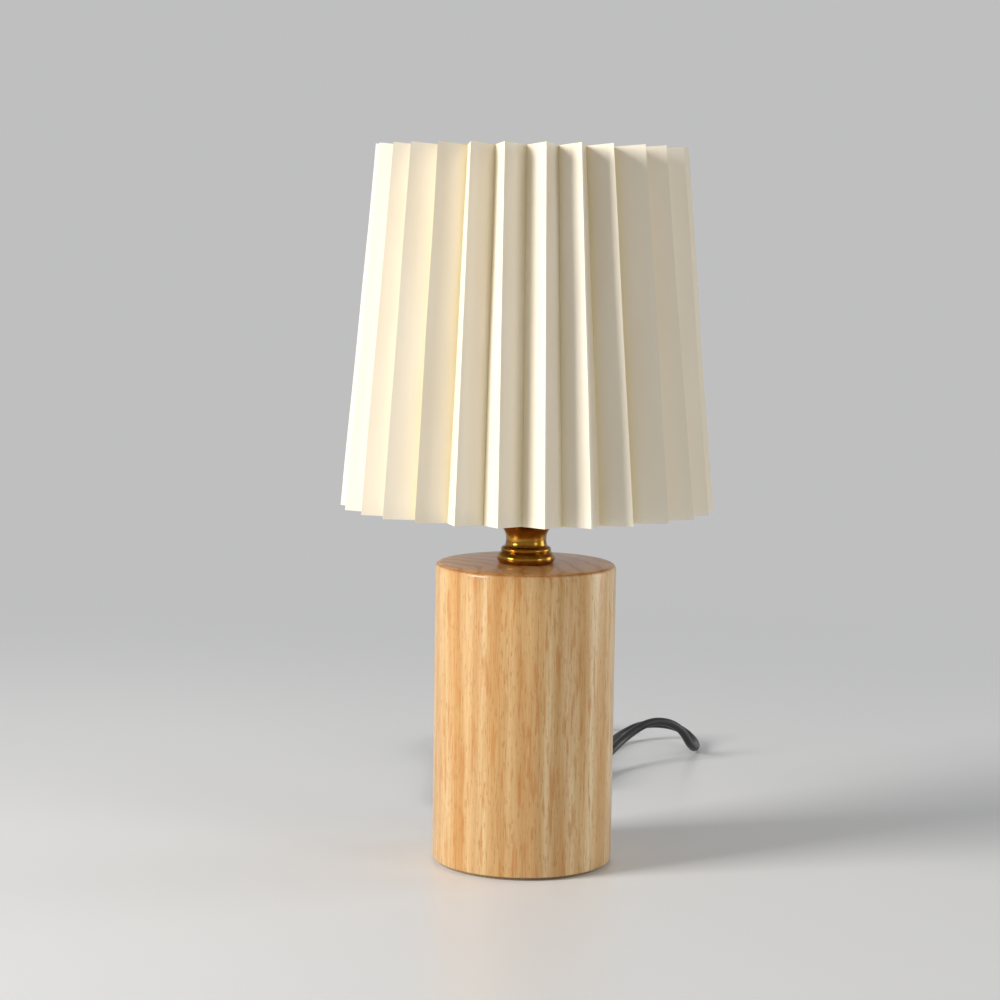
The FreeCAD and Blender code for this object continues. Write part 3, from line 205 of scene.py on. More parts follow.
COIL = Vector((-0.009, 0.245))
COIL_INNER = 0.0225
COIL_PITCH = 0.0062
COIL_IN = 2.25
COIL_LOW = 0.0033
COIL_HIGH = 0.0087
COIL_TURNS = 2 * COIL_IN + 0.5
POINTS_A_TURN = 16
# A spline runs a little inside its points on a circle, so they stand out by as much.
stand_out = 1 / (0.75 + 0.25 * math.cos(2 * math.pi / POINTS_A_TURN))


def coil_spot(turn):
    """Where the coil's middle line is after so many turns, seen from above clockwise."""
    angle = math.pi - 2 * math.pi * turn
    if turn <= COIL_IN:
        radius, height = COIL_INNER + COIL_PITCH * (COIL_IN - turn), COIL_LOW
    elif turn <= COIL_IN + 0.5:
        rise = (1 - math.cos(2 * math.pi * (turn - COIL_IN))) / 2
        radius, height = COIL_INNER, COIL_LOW + (COIL_HIGH - COIL_LOW) * rise
    else:
        radius, height = COIL_INNER + COIL_PITCH * (turn - COIL_IN - 0.5), COIL_HIGH
    radius *= stand_out
    return (COIL.x + radius * math.cos(angle), COIL.y + radius * math.sin(angle), height)


coil_side = COIL.x - COIL_INNER - COIL_PITCH * COIL_IN
coil_spots = [coil_spot(i / POINTS_A_TURN) for i in range(round(COIL_TURNS * POINTS_A_TURN) + 1)]
lead_to_plug = lead_curve("lead_to_plug", [
    tuple(near_sleeve),
    (-0.0039, 0.1073, 0.0085),
    (-0.0182, 0.099, 0.0045),
    (-0.0347, 0.1017, 0.0025),
    (-0.0458, 0.1145, 0.0025),
    (-0.0455, 0.141, 0.0025),
    (-0.044, 0.170, 0.0025),
    (-0.0445, 0.198, 0.0025),
    (coil_side, 0.221, COIL_LOW),
    (coil_side, 0.2402, COIL_LOW),
    *coil_spots[1:-1],
    (coil_side, 0.2498, COIL_HIGH),
    (coil_side, 0.265, COIL_HIGH),
    (-0.0455, 0.2885, 0.003),
    (-0.039, 0.2995, 0.003),
    (-0.028, 0.306, 0.0063),
    (-0.009, 0.306, 0.00685),
])
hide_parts("cord_link", "cord_coil", "cord_tail")


def dress(material, *names):
    """Gives CAD nodes a material in place of their own."""
    for name in names:
        data = nodes[name].data
        data.materials.clear()
        data.materials.append(material)


dress(lead_pvc, "cord_entry", "switch_stub_in", "switch_stub_out")

# ---------------------------------------------------------------- rubber boot
# Moulded natural rubber sleeve that keeps the lead from kinking where it leaves the wood.
# A washer-like flange lies in a flat spot on the wood, and the tail has seven ribs.


def finish_mesh(name, shape, material, body, smooth_under=30):
    """Makes a piece of a bmesh, shaded smooth except at its rims and over sharp edges."""
    bmesh.ops.recalc_face_normals(shape, faces=shape.faces)
    limit = math.radians(smooth_under)
    for face in shape.faces:
        face.smooth = True
    for edge in shape.edges:
        edge.smooth = len(edge.link_faces) == 2 and edge.calc_face_angle(0) <= limit
    data = bpy.data.meshes.new(name)
    shape.to_mesh(data)
    shape.free()
    piece = bpy.data.objects.new(name, data)
    scene.collection.objects.link(piece)
    data.materials.append(material)
    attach(piece, body)
    return piece


def turn_on_lathe(outline, steps=96):
    """A bmesh spun about Z from (radius, height) points in metres. Its ends are closed
    where the outline starts and ends on the axis."""
    shape = bmesh.new()
    spots = [shape.verts.new((radius, 0, height)) for radius, height in outline]
    edges = [shape.edges.new(pair) for pair in zip(spots, spots[1:])]
    bmesh.ops.spin(shape, geom=spots + edges, cent=(0, 0, 0), axis=(0, 0, 1),
                   angle=2 * math.pi, steps=steps, use_merge=True)
    bmesh.ops.remove_doubles(shape, verts=shape.verts, dist=1e-6)
    return shape


boot_rubber, tree, shader = new_material("moulded_rubber", IOR=1.52, Roughness=0.62)
place = put(tree, "TexCoord").outputs["Object"]
bloom = put(tree, "TexNoise", None, {"Vector": place, "Scale": 160.0, "Detail": 4.0})
grit = put(tree, "TexNoise", None, {"Vector": place, "Scale": 2500.0, "Detail": 2.0})
tree.links.new(stops(put(tree, "ValToRGB", None, {"Fac": bloom.outputs["Fac"]}),
                     (0.35, srgb("#121212")), (0.75, srgb("#262524"))),
               shader.inputs["Base Color"])
tree.links.new(put(tree, "Bump", None, {
    "Strength": 0.35, "Distance": 0.0001, "Height": grit.outputs["Fac"]}).outputs["Normal"],
    shader.inputs["Normal"])

BOOT_HEIGHT = 0.0095
BOOT_RIBS = 7
RIB_PITCH = 0.0034
boot_outline = [(LEAD / 2, 0.0287), (0.006, 0.0287), (0.006, 0.0302), (0.0047, 0.0302),
                (0.0047, 0.0438), (0.0061, 0.0438), (0.0065, 0.0441), (0.0065, 0.0456),
                (0.0060, 0.0460), (0.0047, 0.0461)]
for rib in range(BOOT_RIBS):
    start = 0.0475 + rib * RIB_PITCH
    body_radius = 0.0046 - rib * 0.0002
    boot_outline += [(body_radius, start), (body_radius - 0.0007, start + 0.0003),
                     (body_radius - 0.0007, start + 0.0013), (body_radius, start + 0.0016)]
boot_outline += [(0.0033, 0.0714), (0.0030, 0.072), (LEAD / 2, 0.072)]
boot_shape = turn_on_lathe(boot_outline, 48)
bmesh.ops.rotate(boot_shape, verts=boot_shape.verts, matrix=Matrix.Rotation(-math.pi / 2, 3, "X"))
bmesh.ops.translate(boot_shape, verts=boot_shape.verts, vec=(0, 0, BOOT_HEIGHT))
boot = finish_mesh("lead_boot", boot_shape, boot_rubber, "lamp")
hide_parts("cord_boot")
dress(boot_rubber, "cord_stop")

# ---------------------------------------------------------------- wooden base
# Cylinder turned from one block of rubberwood, 90 mm wide. The grain runs upright, with
# soft straw and honey rings and short brown flecks, under a clear satin coat.

BASE_LOW = 0.0015
BASE_TOP = 0.1505
BASE_RADIUS = 0.045
TOP_ROUND = 0.0025
FOOT_ROUND = 0.0008

rubberwood, tree, shader = new_material(
    "rubberwood_lacquered", IOR=1.5, Specular_IOR_Level=0.35, Coat_Weight=0.4,
    Coat_Roughness=0.12, Coat_IOR=1.5)
place = put(tree, "TexCoord").outputs["Object"]


def along_grain(width, length):
    """Coordinates in which a noise of scale 1 has streaks of this width and length in mm."""
    return put(tree, "Mapping", None, {
        "Vector": place, "Scale": (1000 / width, 1000 / width, 1000 / length)}).outputs["Vector"]


# The tree's heart lay in front of the block, to its left, with a ring every 10 mm or so.
rings = put(tree, "TexWave", {"wave_type": "RINGS", "rings_direction": "Z"}, {
    "Vector": put(tree, "Mapping", None, {
        "Vector": place, "Location": (0.06, 0.035, 0.0), "Scale": (1.0, 1.0, 0.06)}).outputs[
            "Vector"],
    "Scale": 32.0, "Distortion": 5.0, "Detail": 2.0, "Detail Scale": 1.2})
tone = put(tree, "TexNoise", None, {"Vector": along_grain(9, 240), "Scale": 1.0, "Detail": 2.0})
streaks = put(tree, "TexNoise", None, {
    "Vector": along_grain(1.7, 60), "Scale": 1.0, "Detail": 3.0, "Roughness": 0.6})
fibres = put(tree, "TexNoise", None, {"Vector": along_grain(0.5, 18), "Scale": 1.0, "Detail": 2.0})
flecks = put(tree, "TexNoise", None, {"Vector": along_grain(2.2, 20), "Scale": 1.0, "Detail": 1.0})
pores = put(tree, "TexNoise", None, {"Vector": along_grain(0.6, 5), "Scale": 1.0, "Detail": 1.0})

# Honey heartwood runs out into pale straw sapwood along a wavering line on the right.
# Partly painted light: the sapwood is made paler than its own tone, for the lit right side.
heart = stops(put(tree, "ValToRGB", None, {"Fac": rings.outputs["Fac"]}),
              (0.0, srgb("#D8B27A")), (0.5, srgb("#DFBC86")), (1.0, srgb("#E5C592")))
sap_and_painted_light = stops(put(tree, "ValToRGB", None, {"Fac": rings.outputs["Fac"]}),
            (0.0, srgb("#E5CB99")), (0.5, srgb("#ECD5A7")), (1.0, srgb("#F2DFB8")))
across = put(tree, "SeparateXYZ", None, {0: place}).outputs["X"]
line = put(tree, "Math", {"operation": "MULTIPLY_ADD"}, {
    0: tone.outputs["Fac"], 1: 0.02, 2: across}).outputs[0]
to_sap_and_painted_light = put(tree, "MapRange", None, {
    "Value": line, "From Min": 0.008, "From Max": 0.055}).outputs["Result"]
ground = put(tree, "Mix", {"data_type": "RGBA"}, {0: to_sap_and_painted_light, 6: heart, 7: sap_and_painted_light}).outputs[2]
for layer, low, high, tint, amount in ((tone, 0.36, 0.6, "#F2DCBE", 0.8),
                                       (streaks, 0.34, 0.58, "#E2C79A", 0.45),
                                       (fibres, 0.35, 0.6, "#E6CBA6", 0.35)):
    grain_tint = stops(put(tree, "ValToRGB", None, {"Fac": layer.outputs["Fac"]}),
                   (low, srgb(tint)), (high, srgb("#FFFFFF")))
    ground = put(tree, "Mix", {"data_type": "RGBA", "blend_type": "MULTIPLY"}, {
        0: amount, 6: ground, 7: grain_tint}).outputs[2]
for layer, low, high, tint, amount in ((flecks, 0.58, 0.67, "#C47C32", 0.5),
                                       (pores, 0.60, 0.68, "#A86F34", 0.45)):
    share = stops(put(tree, "ValToRGB", None, {"Fac": layer.outputs["Fac"]}),
                  (low, grey(0)), (high, grey(amount)))
    ground = put(tree, "Mix", {"data_type": "RGBA"}, {
        0: share, 6: ground, 7: srgb(tint)}).outputs[2]
upward = put(tree, "SeparateXYZ", None, {0: put(tree, "NewGeometry").outputs["Normal"]})
end_grain = put(tree, "TexNoise", None, {
    "Vector": place, "Scale": 700.0, "Detail": 3.0, "Roughness": 0.6})
ring_lines = stops(put(tree, "ValToRGB", None, {"Fac": rings.outputs["Fac"]}),
                   (0.0, srgb("#DDAF74")), (0.25, srgb("#F4D8AA")), (1.0, srgb("#F8DEB2")))
end_ground = put(tree, "Mix", {"data_type": "RGBA"}, {
    0: 0.7, 6: ground, 7: ring_lines}).outputs[2]
end_colour = put(tree, "Mix", {"data_type": "RGBA", "blend_type": "MULTIPLY"}, {
    0: 0.7, 6: end_ground,
    7: stops(put(tree, "ValToRGB", None, {"Fac": end_grain.outputs["Fac"]}),
             (0.35, srgb("#EDBB8E")), (0.65, srgb("#FFE0B6")))}).outputs[2]
is_top = put(tree, "MapRange", None, {
    "Value": upward.outputs["Z"], "From Min": 0.6, "From Max": 0.95}).outputs["Result"]
wood = put(tree, "Mix", {"data_type": "RGBA"}, {0: is_top, 6: ground, 7: end_colour}).outputs[2]
# The lacquer gathers in the open grain of the rounded edge and darkens it.
edge_line = stops(put(tree, "ValToRGB", None, {"Fac": upward.outputs["Z"]}),
                  (0.55, srgb("#FFFFFF")), (0.8, srgb("#D79A62")), (0.97, srgb("#FFFFFF")))
tree.links.new(put(tree, "Mix", {"data_type": "RGBA", "blend_type": "MULTIPLY"}, {
    0: 0.8, 6: wood, 7: edge_line}).outputs[2], shader.inputs["Base Color"])
tree.links.new(put(tree, "MapRange", None, {
    "Value": streaks.outputs["Fac"], "To Min": 0.5, "To Max": 0.36}).outputs["Result"],
    shader.inputs["Roughness"])
tree.links.new(put(tree, "Bump", None, {
    "Strength": 0.3, "Distance": 0.0001, "Height": fibres.outputs["Fac"]}).outputs["Normal"],
    shader.inputs["Normal"])

block = bmesh.new()
bmesh.ops.create_cone(block, cap_ends=True, segments=160, radius1=BASE_RADIUS,
                      radius2=BASE_RADIUS, depth=BASE_TOP - BASE_LOW)
bmesh.ops.translate(block, verts=block.verts, vec=(0, 0, (BASE_TOP + BASE_LOW) / 2))
for height, width, segments in ((BASE_TOP, TOP_ROUND, 6), (BASE_LOW, FOOT_ROUND, 3)):
    rim = [e for e in block.edges if all(abs(v.co.z - height) < 1e-5 for v in e.verts)]
    bmesh.ops.bevel(block, geom=rim, offset=width, segments=segments, profile=0.5,
                    affect="EDGES", material=-1)
base = finish_mesh("wood_base", block, rubberwood, "lamp", 40)
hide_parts("base_block")

# ---------------------------------------------------------------- felt foot
# Fawn needled wool felt, 1.5 mm thick, glued under the wood to close its recess.

wool_felt, tree, shader = new_material("needled_wool_felt", IOR=1.45, Roughness=0.95,
                                       Sheen_Weight=0.4, Sheen_Roughness=0.6)
place = put(tree, "TexCoord").outputs["Object"]
tufts = put(tree, "TexNoise", None, {"Vector": place, "Scale": 1500.0, "Detail": 5.0})
tree.links.new(stops(put(tree, "ValToRGB", None, {"Fac": tufts.outputs["Fac"]}),
                     (0.3, srgb("#7D6C54")), (0.7, srgb("#A08D70"))),
               shader.inputs["Base Color"])
tree.links.new(put(tree, "Bump", None, {
    "Strength": 0.8, "Distance": 0.0003, "Height": tufts.outputs["Fac"]}).outputs["Normal"],
    shader.inputs["Normal"])
dress(wool_felt, "base_felt")

# ---------------------------------------------------------------- brass neck and cup
# Neck and cup are turned brass, polished and toned with an amber lacquer that stays dark
# in the grooves. The lamp tube passes through them.

antique_brass, tree, shader = new_material("antique_brass_turned", Metallic=1.0)
place = put(tree, "TexCoord").outputs["Object"]
# Lathe marks are rings about the axis, 0.25 mm apart.
marks = put(tree, "TexNoise", None, {
    "Vector": put(tree, "Mapping", None, {
        "Vector": place, "Scale": (20.0, 20.0, 4000.0)}).outputs["Vector"],
    "Scale": 1.0, "Detail": 2.0})
tarnish = put(tree, "TexNoise", None, {"Vector": place, "Scale": 180.0, "Detail": 4.0})
pointiness = put(tree, "NewGeometry").outputs["Pointiness"]
worn = stops(put(tree, "ValToRGB", None, {"Fac": tarnish.outputs["Fac"]}),
             (0.3, srgb("#976A25")), (0.7, srgb("#B68435")))
in_groove = stops(put(tree, "ValToRGB", None, {"Fac": pointiness}),
                  (0.38, grey(1)), (0.48, grey(0)))
tree.links.new(put(tree, "Mix", {"data_type": "RGBA"}, {
    0: in_groove, 6: worn, 7: srgb("#4C300B")}).outputs[2], shader.inputs["Base Color"])
tree.links.new(put(tree, "MapRange", None, {
    "Value": tarnish.outputs["Fac"], "From Min": 0.3, "From Max": 0.7,
    "To Min": 0.13, "To Max": 0.22}).outputs["Result"], shader.inputs["Roughness"])
tree.links.new(put(tree, "Bump", None, {
    "Strength": 0.08, "Distance": 0.00005, "Height": marks.outputs["Fac"]}).outputs["Normal"],
    shader.inputs["Normal"])


def bulge(start, end, stand, steps=10):
    """Points on the arc from start to end that stands out of its chord, without start."""
    (r0, z0), (r1, z1) = start, end
    chord = math.hypot(r1 - r0, z1 - z0)
    radius = (chord * chord / 4 + stand * stand) / (2 * abs(stand))
    half = math.asin(chord / 2 / radius)
    side = 1 if stand > 0 else -1
    across = ((z1 - z0) / chord, -(r1 - r0) / chord)
    spots = []
    for i in range(1, steps + 1):
        angle = half * (2 * i / steps - 1)
        forth = radius * math.sin(angle)
        out = side * (radius * math.cos(angle) - radius * math.cos(half))
        spots.append(((r0 + r1) / 2 + (r1 - r0) / chord * forth + across[0] * out,
                      (z0 + z1) / 2 + (z1 - z0) / chord * forth + across[1] * out))
    return spots


NECK_TOP = 0.1705
neck_outline = [(0.0053, BASE_TOP), (0.0130, BASE_TOP), (0.0132, BASE_TOP + 0.0001)]
neck_outline += bulge((0.0132, 0.1506), (0.0129, 0.1560), 0.0014, 16)
neck_outline += [(0.0124, 0.1561), (0.0121, 0.1564)]
neck_outline += bulge((0.0121, 0.1564), (0.0114, 0.1589), 0.0007, 10)
neck_outline += [(0.0108, 0.1590), (0.0106, 0.1592)]
neck_outline += bulge((0.0106, 0.1592), (0.0150, NECK_TOP), -0.0023, 20)
neck_outline += [(0.0053, NECK_TOP)]
neck = finish_mesh("brass_neck", turn_on_lathe(neck_outline, 128), antique_brass, "lamp",
                   50)
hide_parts("neck_spacer")

cup_outline = [(0.0050, NECK_TOP), (0.0138, NECK_TOP), (0.0140, NECK_TOP + 0.0001)]
cup_outline += bulge((0.0140, 0.1706), (0.0200, 0.1825), 0.0011, 16)
cup_outline += [(0.0200, 0.1882), (0.0197, 0.1885), (0.0190, 0.1885), (0.0190, 0.1825)]
cup_outline += bulge((0.0190, 0.1825), (0.0130, 0.1720), -0.0011, 12)
cup_outline += [(0.0050, 0.1720)]
cup = finish_mesh("brass_cup", turn_on_lathe(cup_outline, 128), antique_brass, "lamp",
                  50)
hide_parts("holder_cup")
dress(antique_brass, "holder_barrel", "shade_collar")

# ---------------------------------------------------------------- fixing hardware
# Zinc-plated steel: lamp tube, nuts, washer and the switch's screws. The plating is a
# little blue, and finely uneven in colour and sheen.

zinc_plate, tree, shader = new_material("zinc_plated_steel", Metallic=1.0)
place = put(tree, "TexCoord").outputs["Object"]
bloom = put(tree, "TexNoise", None, {"Vector": place, "Scale": 400.0, "Detail": 4.0})
tree.links.new(stops(put(tree, "ValToRGB", None, {"Fac": bloom.outputs["Fac"]}),
                     (0.3, srgb("#9BA1A8")), (0.7, srgb("#C9CCCF"))),
               shader.inputs["Base Color"])
tree.links.new(put(tree, "MapRange", None, {
    "Value": bloom.outputs["Fac"], "To Min": 0.25, "To Max": 0.5}).outputs["Result"],
    shader.inputs["Roughness"])
dress(zinc_plate, "lamp_tube", "bottom_washer", "bottom_nut", "top_nut", "switch_screws")

# ---------------------------------------------------------------- live parts
# Bright brass stampings: the lamp's screw shell, the leaf, the terminals and the switch's
# blocks, tumbled to a soft shine.

bright_brass, tree, shader = new_material("bright_brass_stamped", Metallic=1.0, Roughness=0.24)
place = put(tree, "TexCoord").outputs["Object"]
bloom = put(tree, "TexNoise", None, {"Vector": place, "Scale": 500.0, "Detail": 3.0})
tree.links.new(stops(put(tree, "ValToRGB", None, {"Fac": bloom.outputs["Fac"]}),
                     (0.3, srgb("#C39A48")), (0.7, srgb("#DDBB6C"))),
               shader.inputs["Base Color"])
dress(bright_brass, "screw_shell", "centre_contact", "terminal_screws", "switch_contacts")

# ---------------------------------------------------------------- porcelain insert
# Slip-cast porcelain that carries the contacts, under a clear glossy glaze. Faint iron
# specks show through it.

porcelain, tree, shader = new_material("glazed_porcelain", IOR=1.52, Roughness=0.16,
                                       Coat_Weight=0.6, Coat_Roughness=0.05)
place = put(tree, "TexCoord").outputs["Object"]
specks = put(tree, "TexNoise", None, {"Vector": place, "Scale": 1400.0, "Detail": 1.0})
tree.links.new(stops(put(tree, "ValToRGB", None, {"Fac": specks.outputs["Fac"]}),
                     (0.28, srgb("#A79E90")), (0.34, srgb("#ECEAE4"))),
               shader.inputs["Base Color"])
dress(porcelain, "porcelain_insert")

# ---------------------------------------------------------------- insulated wires
# Single cores with PVC insulation, brown for live and blue for neutral, 2 mm thick.

for wire, low, high in (("wire_live", "#4A2912", "#5E371B"),
                        ("wire_neutral", "#1D4E9C", "#2A62B6")):
    insulation, tree, shader = new_material(wire + "_insulation", IOR=1.53, Roughness=0.4)
    place = put(tree, "TexCoord").outputs["Object"]
    drawn = put(tree, "TexNoise", None, {"Vector": place, "Scale": 120.0, "Detail": 2.0})
    tree.links.new(stops(put(tree, "ValToRGB", None, {"Fac": drawn.outputs["Fac"]}),
                         (0.3, srgb(low)), (0.7, srgb(high))), shader.inputs["Base Color"])
    dress(insulation, wire)

# ---------------------------------------------------------------- LED bulb
# Screw cap of nickel-plated aluminium, a white moulded body that flares out from it, and
# a diffusing globe of opal polycarbonate that snaps into the body's rim.

GLOBE_CENTRE = 0.27876
GLOBE_RADIUS = 0.030
GLOBE_MOUTH = 0.2648
cap_metal, tree, shader = new_material("nickel_plated_aluminium", Metallic=1.0, Roughness=0.3)
place = put(tree, "TexCoord").outputs["Object"]
bloom = put(tree, "TexNoise", None, {"Vector": place, "Scale": 300.0, "Detail": 4.0})
tree.links.new(stops(put(tree, "ValToRGB", None, {"Fac": bloom.outputs["Fac"]}),
                     (0.3, srgb("#A9A69F")), (0.7, srgb("#C8C5BD"))),
               shader.inputs["Base Color"])
dress(cap_metal, "bulb_cap", "bulb_tip", "bulb_led_board")

black_glass, tree, shader = new_material("black_vitrite_glass", IOR=1.6, Roughness=0.1)
place = put(tree, "TexCoord").outputs["Object"]
swirl = put(tree, "TexNoise", None, {"Vector": place, "Scale": 300.0, "Distortion": 1.0})
tree.links.new(stops(put(tree, "ValToRGB", None, {"Fac": swirl.outputs["Fac"]}),
                     (0.3, srgb("#08080A")), (0.7, srgb("#141419"))),
               shader.inputs["Base Color"])
dress(black_glass, "bulb_glass_ring")

white_pbt, tree, shader = new_material("white_pbt_moulded", IOR=1.55, Roughness=0.38)
place = put(tree, "TexCoord").outputs["Object"]
spark = put(tree, "TexNoise", None, {"Vector": place, "Scale": 2500.0, "Detail": 2.0})
cloud = put(tree, "TexNoise", None, {"Vector": place, "Scale": 60.0, "Detail": 2.0})
tree.links.new(stops(put(tree, "ValToRGB", None, {"Fac": cloud.outputs["Fac"]}),
                     (0.3, srgb("#E9E8E4")), (0.7, srgb("#F1F0ED"))),
               shader.inputs["Base Color"])
tree.links.new(put(tree, "Bump", None, {
    "Strength": 0.2, "Distance": 0.00005, "Height": spark.outputs["Fac"]}).outputs["Normal"],
    shader.inputs["Normal"])
body_outline = [(0.0100, 0.2107), (0.0118, 0.2107), (0.0118, 0.2267), (0.0133, 0.2267),
                (0.0136, 0.2270), (0.0136, 0.2294), (0.0139, 0.2297)]
body_outline += bulge((0.0139, 0.2297), (0.0264, 0.2640), 0.0022, 20)
body_outline += [(0.0265, 0.2645), (0.0251, 0.2647), (0.0245, 0.2610), (0.0100, 0.2300)]
bulb_body = finish_mesh("bulb_white_body", turn_on_lathe(body_outline, 96), white_pbt, "bulb",
                        35)
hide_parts("bulb_body")

opal, tree, shader = new_material("opal_polycarbonate", IOR=1.58, Roughness=0.32)
place = put(tree, "TexCoord").outputs["Object"]
haze = put(tree, "TexNoise", None, {"Vector": place, "Scale": 40.0, "Detail": 2.0})
tree.links.new(stops(put(tree, "ValToRGB", None, {"Fac": haze.outputs["Fac"]}),
                     (0.3, srgb("#F0EEE8")), (0.7, srgb("#F7F5F0"))),
               shader.inputs["Base Color"])
globe_shape = bmesh.new()
bmesh.ops.create_uvsphere(globe_shape, u_segments=96, v_segments=64, radius=GLOBE_RADIUS)
bmesh.ops.translate(globe_shape, verts=globe_shape.verts, vec=(0, 0, GLOBE_CENTRE))
cut_low = bmesh.ops.bisect_plane(
    globe_shape, geom=globe_shape.verts[:] + globe_shape.edges[:] + globe_shape.faces[:],
    plane_co=(0, 0, GLOBE_MOUTH), plane_no=(0, 0, 1), clear_inner=True)
mouth = [e for e in cut_low["geom_cut"] if isinstance(e, bmesh.types.BMEdge)]
bmesh.ops.holes_fill(globe_shape, edges=mouth)
globe = finish_mesh("bulb_opal_globe", globe_shape, opal, "bulb", 50)
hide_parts("bulb_globe")

# ---------------------------------------------------------------- folded paper shade
# One strip of cream card, laminated inside, scored and folded into 27 pleats, and joined
# into a cone. Hand folding leaves each pleat a little wider or narrower.

FOLDS = 27
PHASE = 4.5
SHADE_LOW = 0.1782
SHADE_TOP = 0.3547
LOW_RADIUS = 0.0921
TOP_RADIUS = 0.0762
PLEAT = 0.013
CARD_WALL = 0.0005
CREASE = 0.0005
BOW = 0.0005
# Degrees by which each fold stands off an even spacing, at the bottom and at the top.
BOTTOM_SHIFT = [0.2, 0.6, 1.0, 1.7, 1.8, 1.8, 1.2, 0.6, 0.2, -0.5, 0.3, 0.9, -0.4, 0.2,
                0.8, 0.3, -0.6, 0.1, 0.9, 1.4, 1.8, 2.0, 2.2, 0.8, 0.3, 0.4, 0.0]
TOP_SHIFT = [-0.2, -1.1, -2.2, -1.2, -2.2, 0.4, 0.8, -0.3, -0.9, 0.2, 0.7, -0.4, 0.5, -0.8,
             0.1, 0.9, -0.2, -0.7, 0.4, 0.2, 0.6, 0.7, 2.0, -0.2, -0.3, -0.2, -1.3]

card, tree, shader = new_material("cream_card_laminated", IOR=1.46, Roughness=0.5,
                                  Specular_IOR_Level=0.45)
place = put(tree, "TexCoord").outputs["Object"]
# Paper fibres are about 1 mm long and lie mostly along the strip's height.
pulp = put(tree, "TexNoise", None, {
    "Vector": put(tree, "Mapping", None, {
        "Vector": place, "Scale": (1800.0, 1800.0, 500.0)}).outputs["Vector"],
    "Scale": 1.0, "Detail": 3.0})
mottle = put(tree, "TexNoise", None, {
    "Vector": put(tree, "Mapping", None, {
        "Vector": place, "Scale": (60.0, 60.0, 14.0)}).outputs["Vector"],
    "Scale": 1.0, "Detail": 3.0})
card_colour = stops(put(tree, "ValToRGB", None, {"Fac": mottle.outputs["Fac"]}),
                    (0.25, srgb("#F2E8D4")), (0.75, srgb("#F7EFDF")))
# Painted bounce light: deep between the folds the card is tinted a deeper cream.
painted_bounce_in_folds = put(tree, "MapRange", None, {
    "Value": put(tree, "Attribute", {"attribute_name": "fold_depth"}).outputs["Fac"],
    "From Min": 0.7, "From Max": 1.0}).outputs["Result"]
# The painted bounce light is multiplied into the card's colour here.
tree.links.new(put(tree, "Mix", {"data_type": "RGBA", "blend_type": "MULTIPLY"}, {
    0: painted_bounce_in_folds, 6: card_colour, 7: srgb("#FFFCEC")}).outputs[2], shader.inputs["Base Color"])
tree.links.new(put(tree, "Bump", None, {
    "Strength": 0.12, "Distance": 0.0001, "Height": pulp.outputs["Fac"]}).outputs["Normal"],
    shader.inputs["Normal"])

# Each rim has its shifts, its radius, its height and how far the outer folds rise above it.
RIMS = ((BOTTOM_SHIFT, LOW_RADIUS, SHADE_LOW, 0.0005), (TOP_SHIFT, TOP_RADIUS, SHADE_TOP, 0.0013))
step = 360 / FOLDS
paper_shape = bmesh.new()
rims = [bmesh.ops.create_circle(paper_shape, segments=2 * FOLDS, radius=outer)["verts"]
        for _, outer, _, _ in RIMS]
bmesh.ops.translate(paper_shape, verts=rims[1], vec=(0, 0, 0.1))
bmesh.ops.bridge_loops(paper_shape, edges=paper_shape.edges)
for rim, (shift, outer, height, rise) in zip(rims, RIMS):
    peaks = [PHASE + step * k + shift[k] for k in range(FOLDS)]
    for index, vert in enumerate(rim):
        fold, is_valley = divmod(index, 2)
        if is_valley:
            following = peaks[(fold + 1) % FOLDS] + (360 if fold + 1 == FOLDS else 0)
            angle = (peaks[fold] + following) / 2
        else:
            angle = peaks[fold]
        turn = math.radians(angle - 90)
        reach = outer - (PLEAT if is_valley else 0)
        vert.co = (reach * math.cos(turn), reach * math.sin(turn),
                   height + (0 if is_valley else rise))
ups = [e for e in paper_shape.edges if abs(e.verts[0].co.z - e.verts[1].co.z) > 0.1]
bmesh.ops.subdivide_edges(paper_shape, edges=ups, cuts=11, use_grid_fill=True)
fold_lines = {e for e in paper_shape.edges if abs(e.verts[0].co.z - e.verts[1].co.z) > 0.01}
on_folds = {v for e in fold_lines for v in e.verts}
acrosses = [e for e in paper_shape.edges if e not in fold_lines]
bmesh.ops.subdivide_edges(paper_shape, edges=acrosses, cuts=3, use_grid_fill=True)
# The faces between folds bow by up to a quarter of a millimetre, each in its own way.
paper_shape.normal_update()
for vert in paper_shape.verts:
    if vert not in on_folds:
        amount = noise.noise(Vector((vert.co.x * 60, vert.co.y * 60, vert.co.z * 14)))
        vert.co += vert.normal * amount * BOW
lines = [e for e in paper_shape.edges
         if all(v in on_folds for v in e.verts)
         and abs(e.verts[0].co.z - e.verts[1].co.z) > 0.01]
bmesh.ops.bevel(paper_shape, geom=lines, offset=CREASE, segments=2, profile=0.5,
                affect="EDGES", material=-1)
depth = paper_shape.verts.layers.float.new("fold_depth")
for vert in paper_shape.verts:
    share = (vert.co.z - SHADE_LOW) / (SHADE_TOP - SHADE_LOW)
    outer = LOW_RADIUS + (TOP_RADIUS - LOW_RADIUS) * share
    vert[depth] = (outer - math.hypot(vert.co.x, vert.co.y)) / PLEAT
shade = finish_mesh("paper_shade", paper_shape, card, "shade", 25)
wall = shade.modifiers.new("thickness", "SOLIDIFY")
wall.thickness = CARD_WALL
wall.offset = -1
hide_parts("shade_pleats")

# ---------------------------------------------------------------- shade frame
# Steel wire rings, three arms and a fitter, spot-welded and powder-coated white.

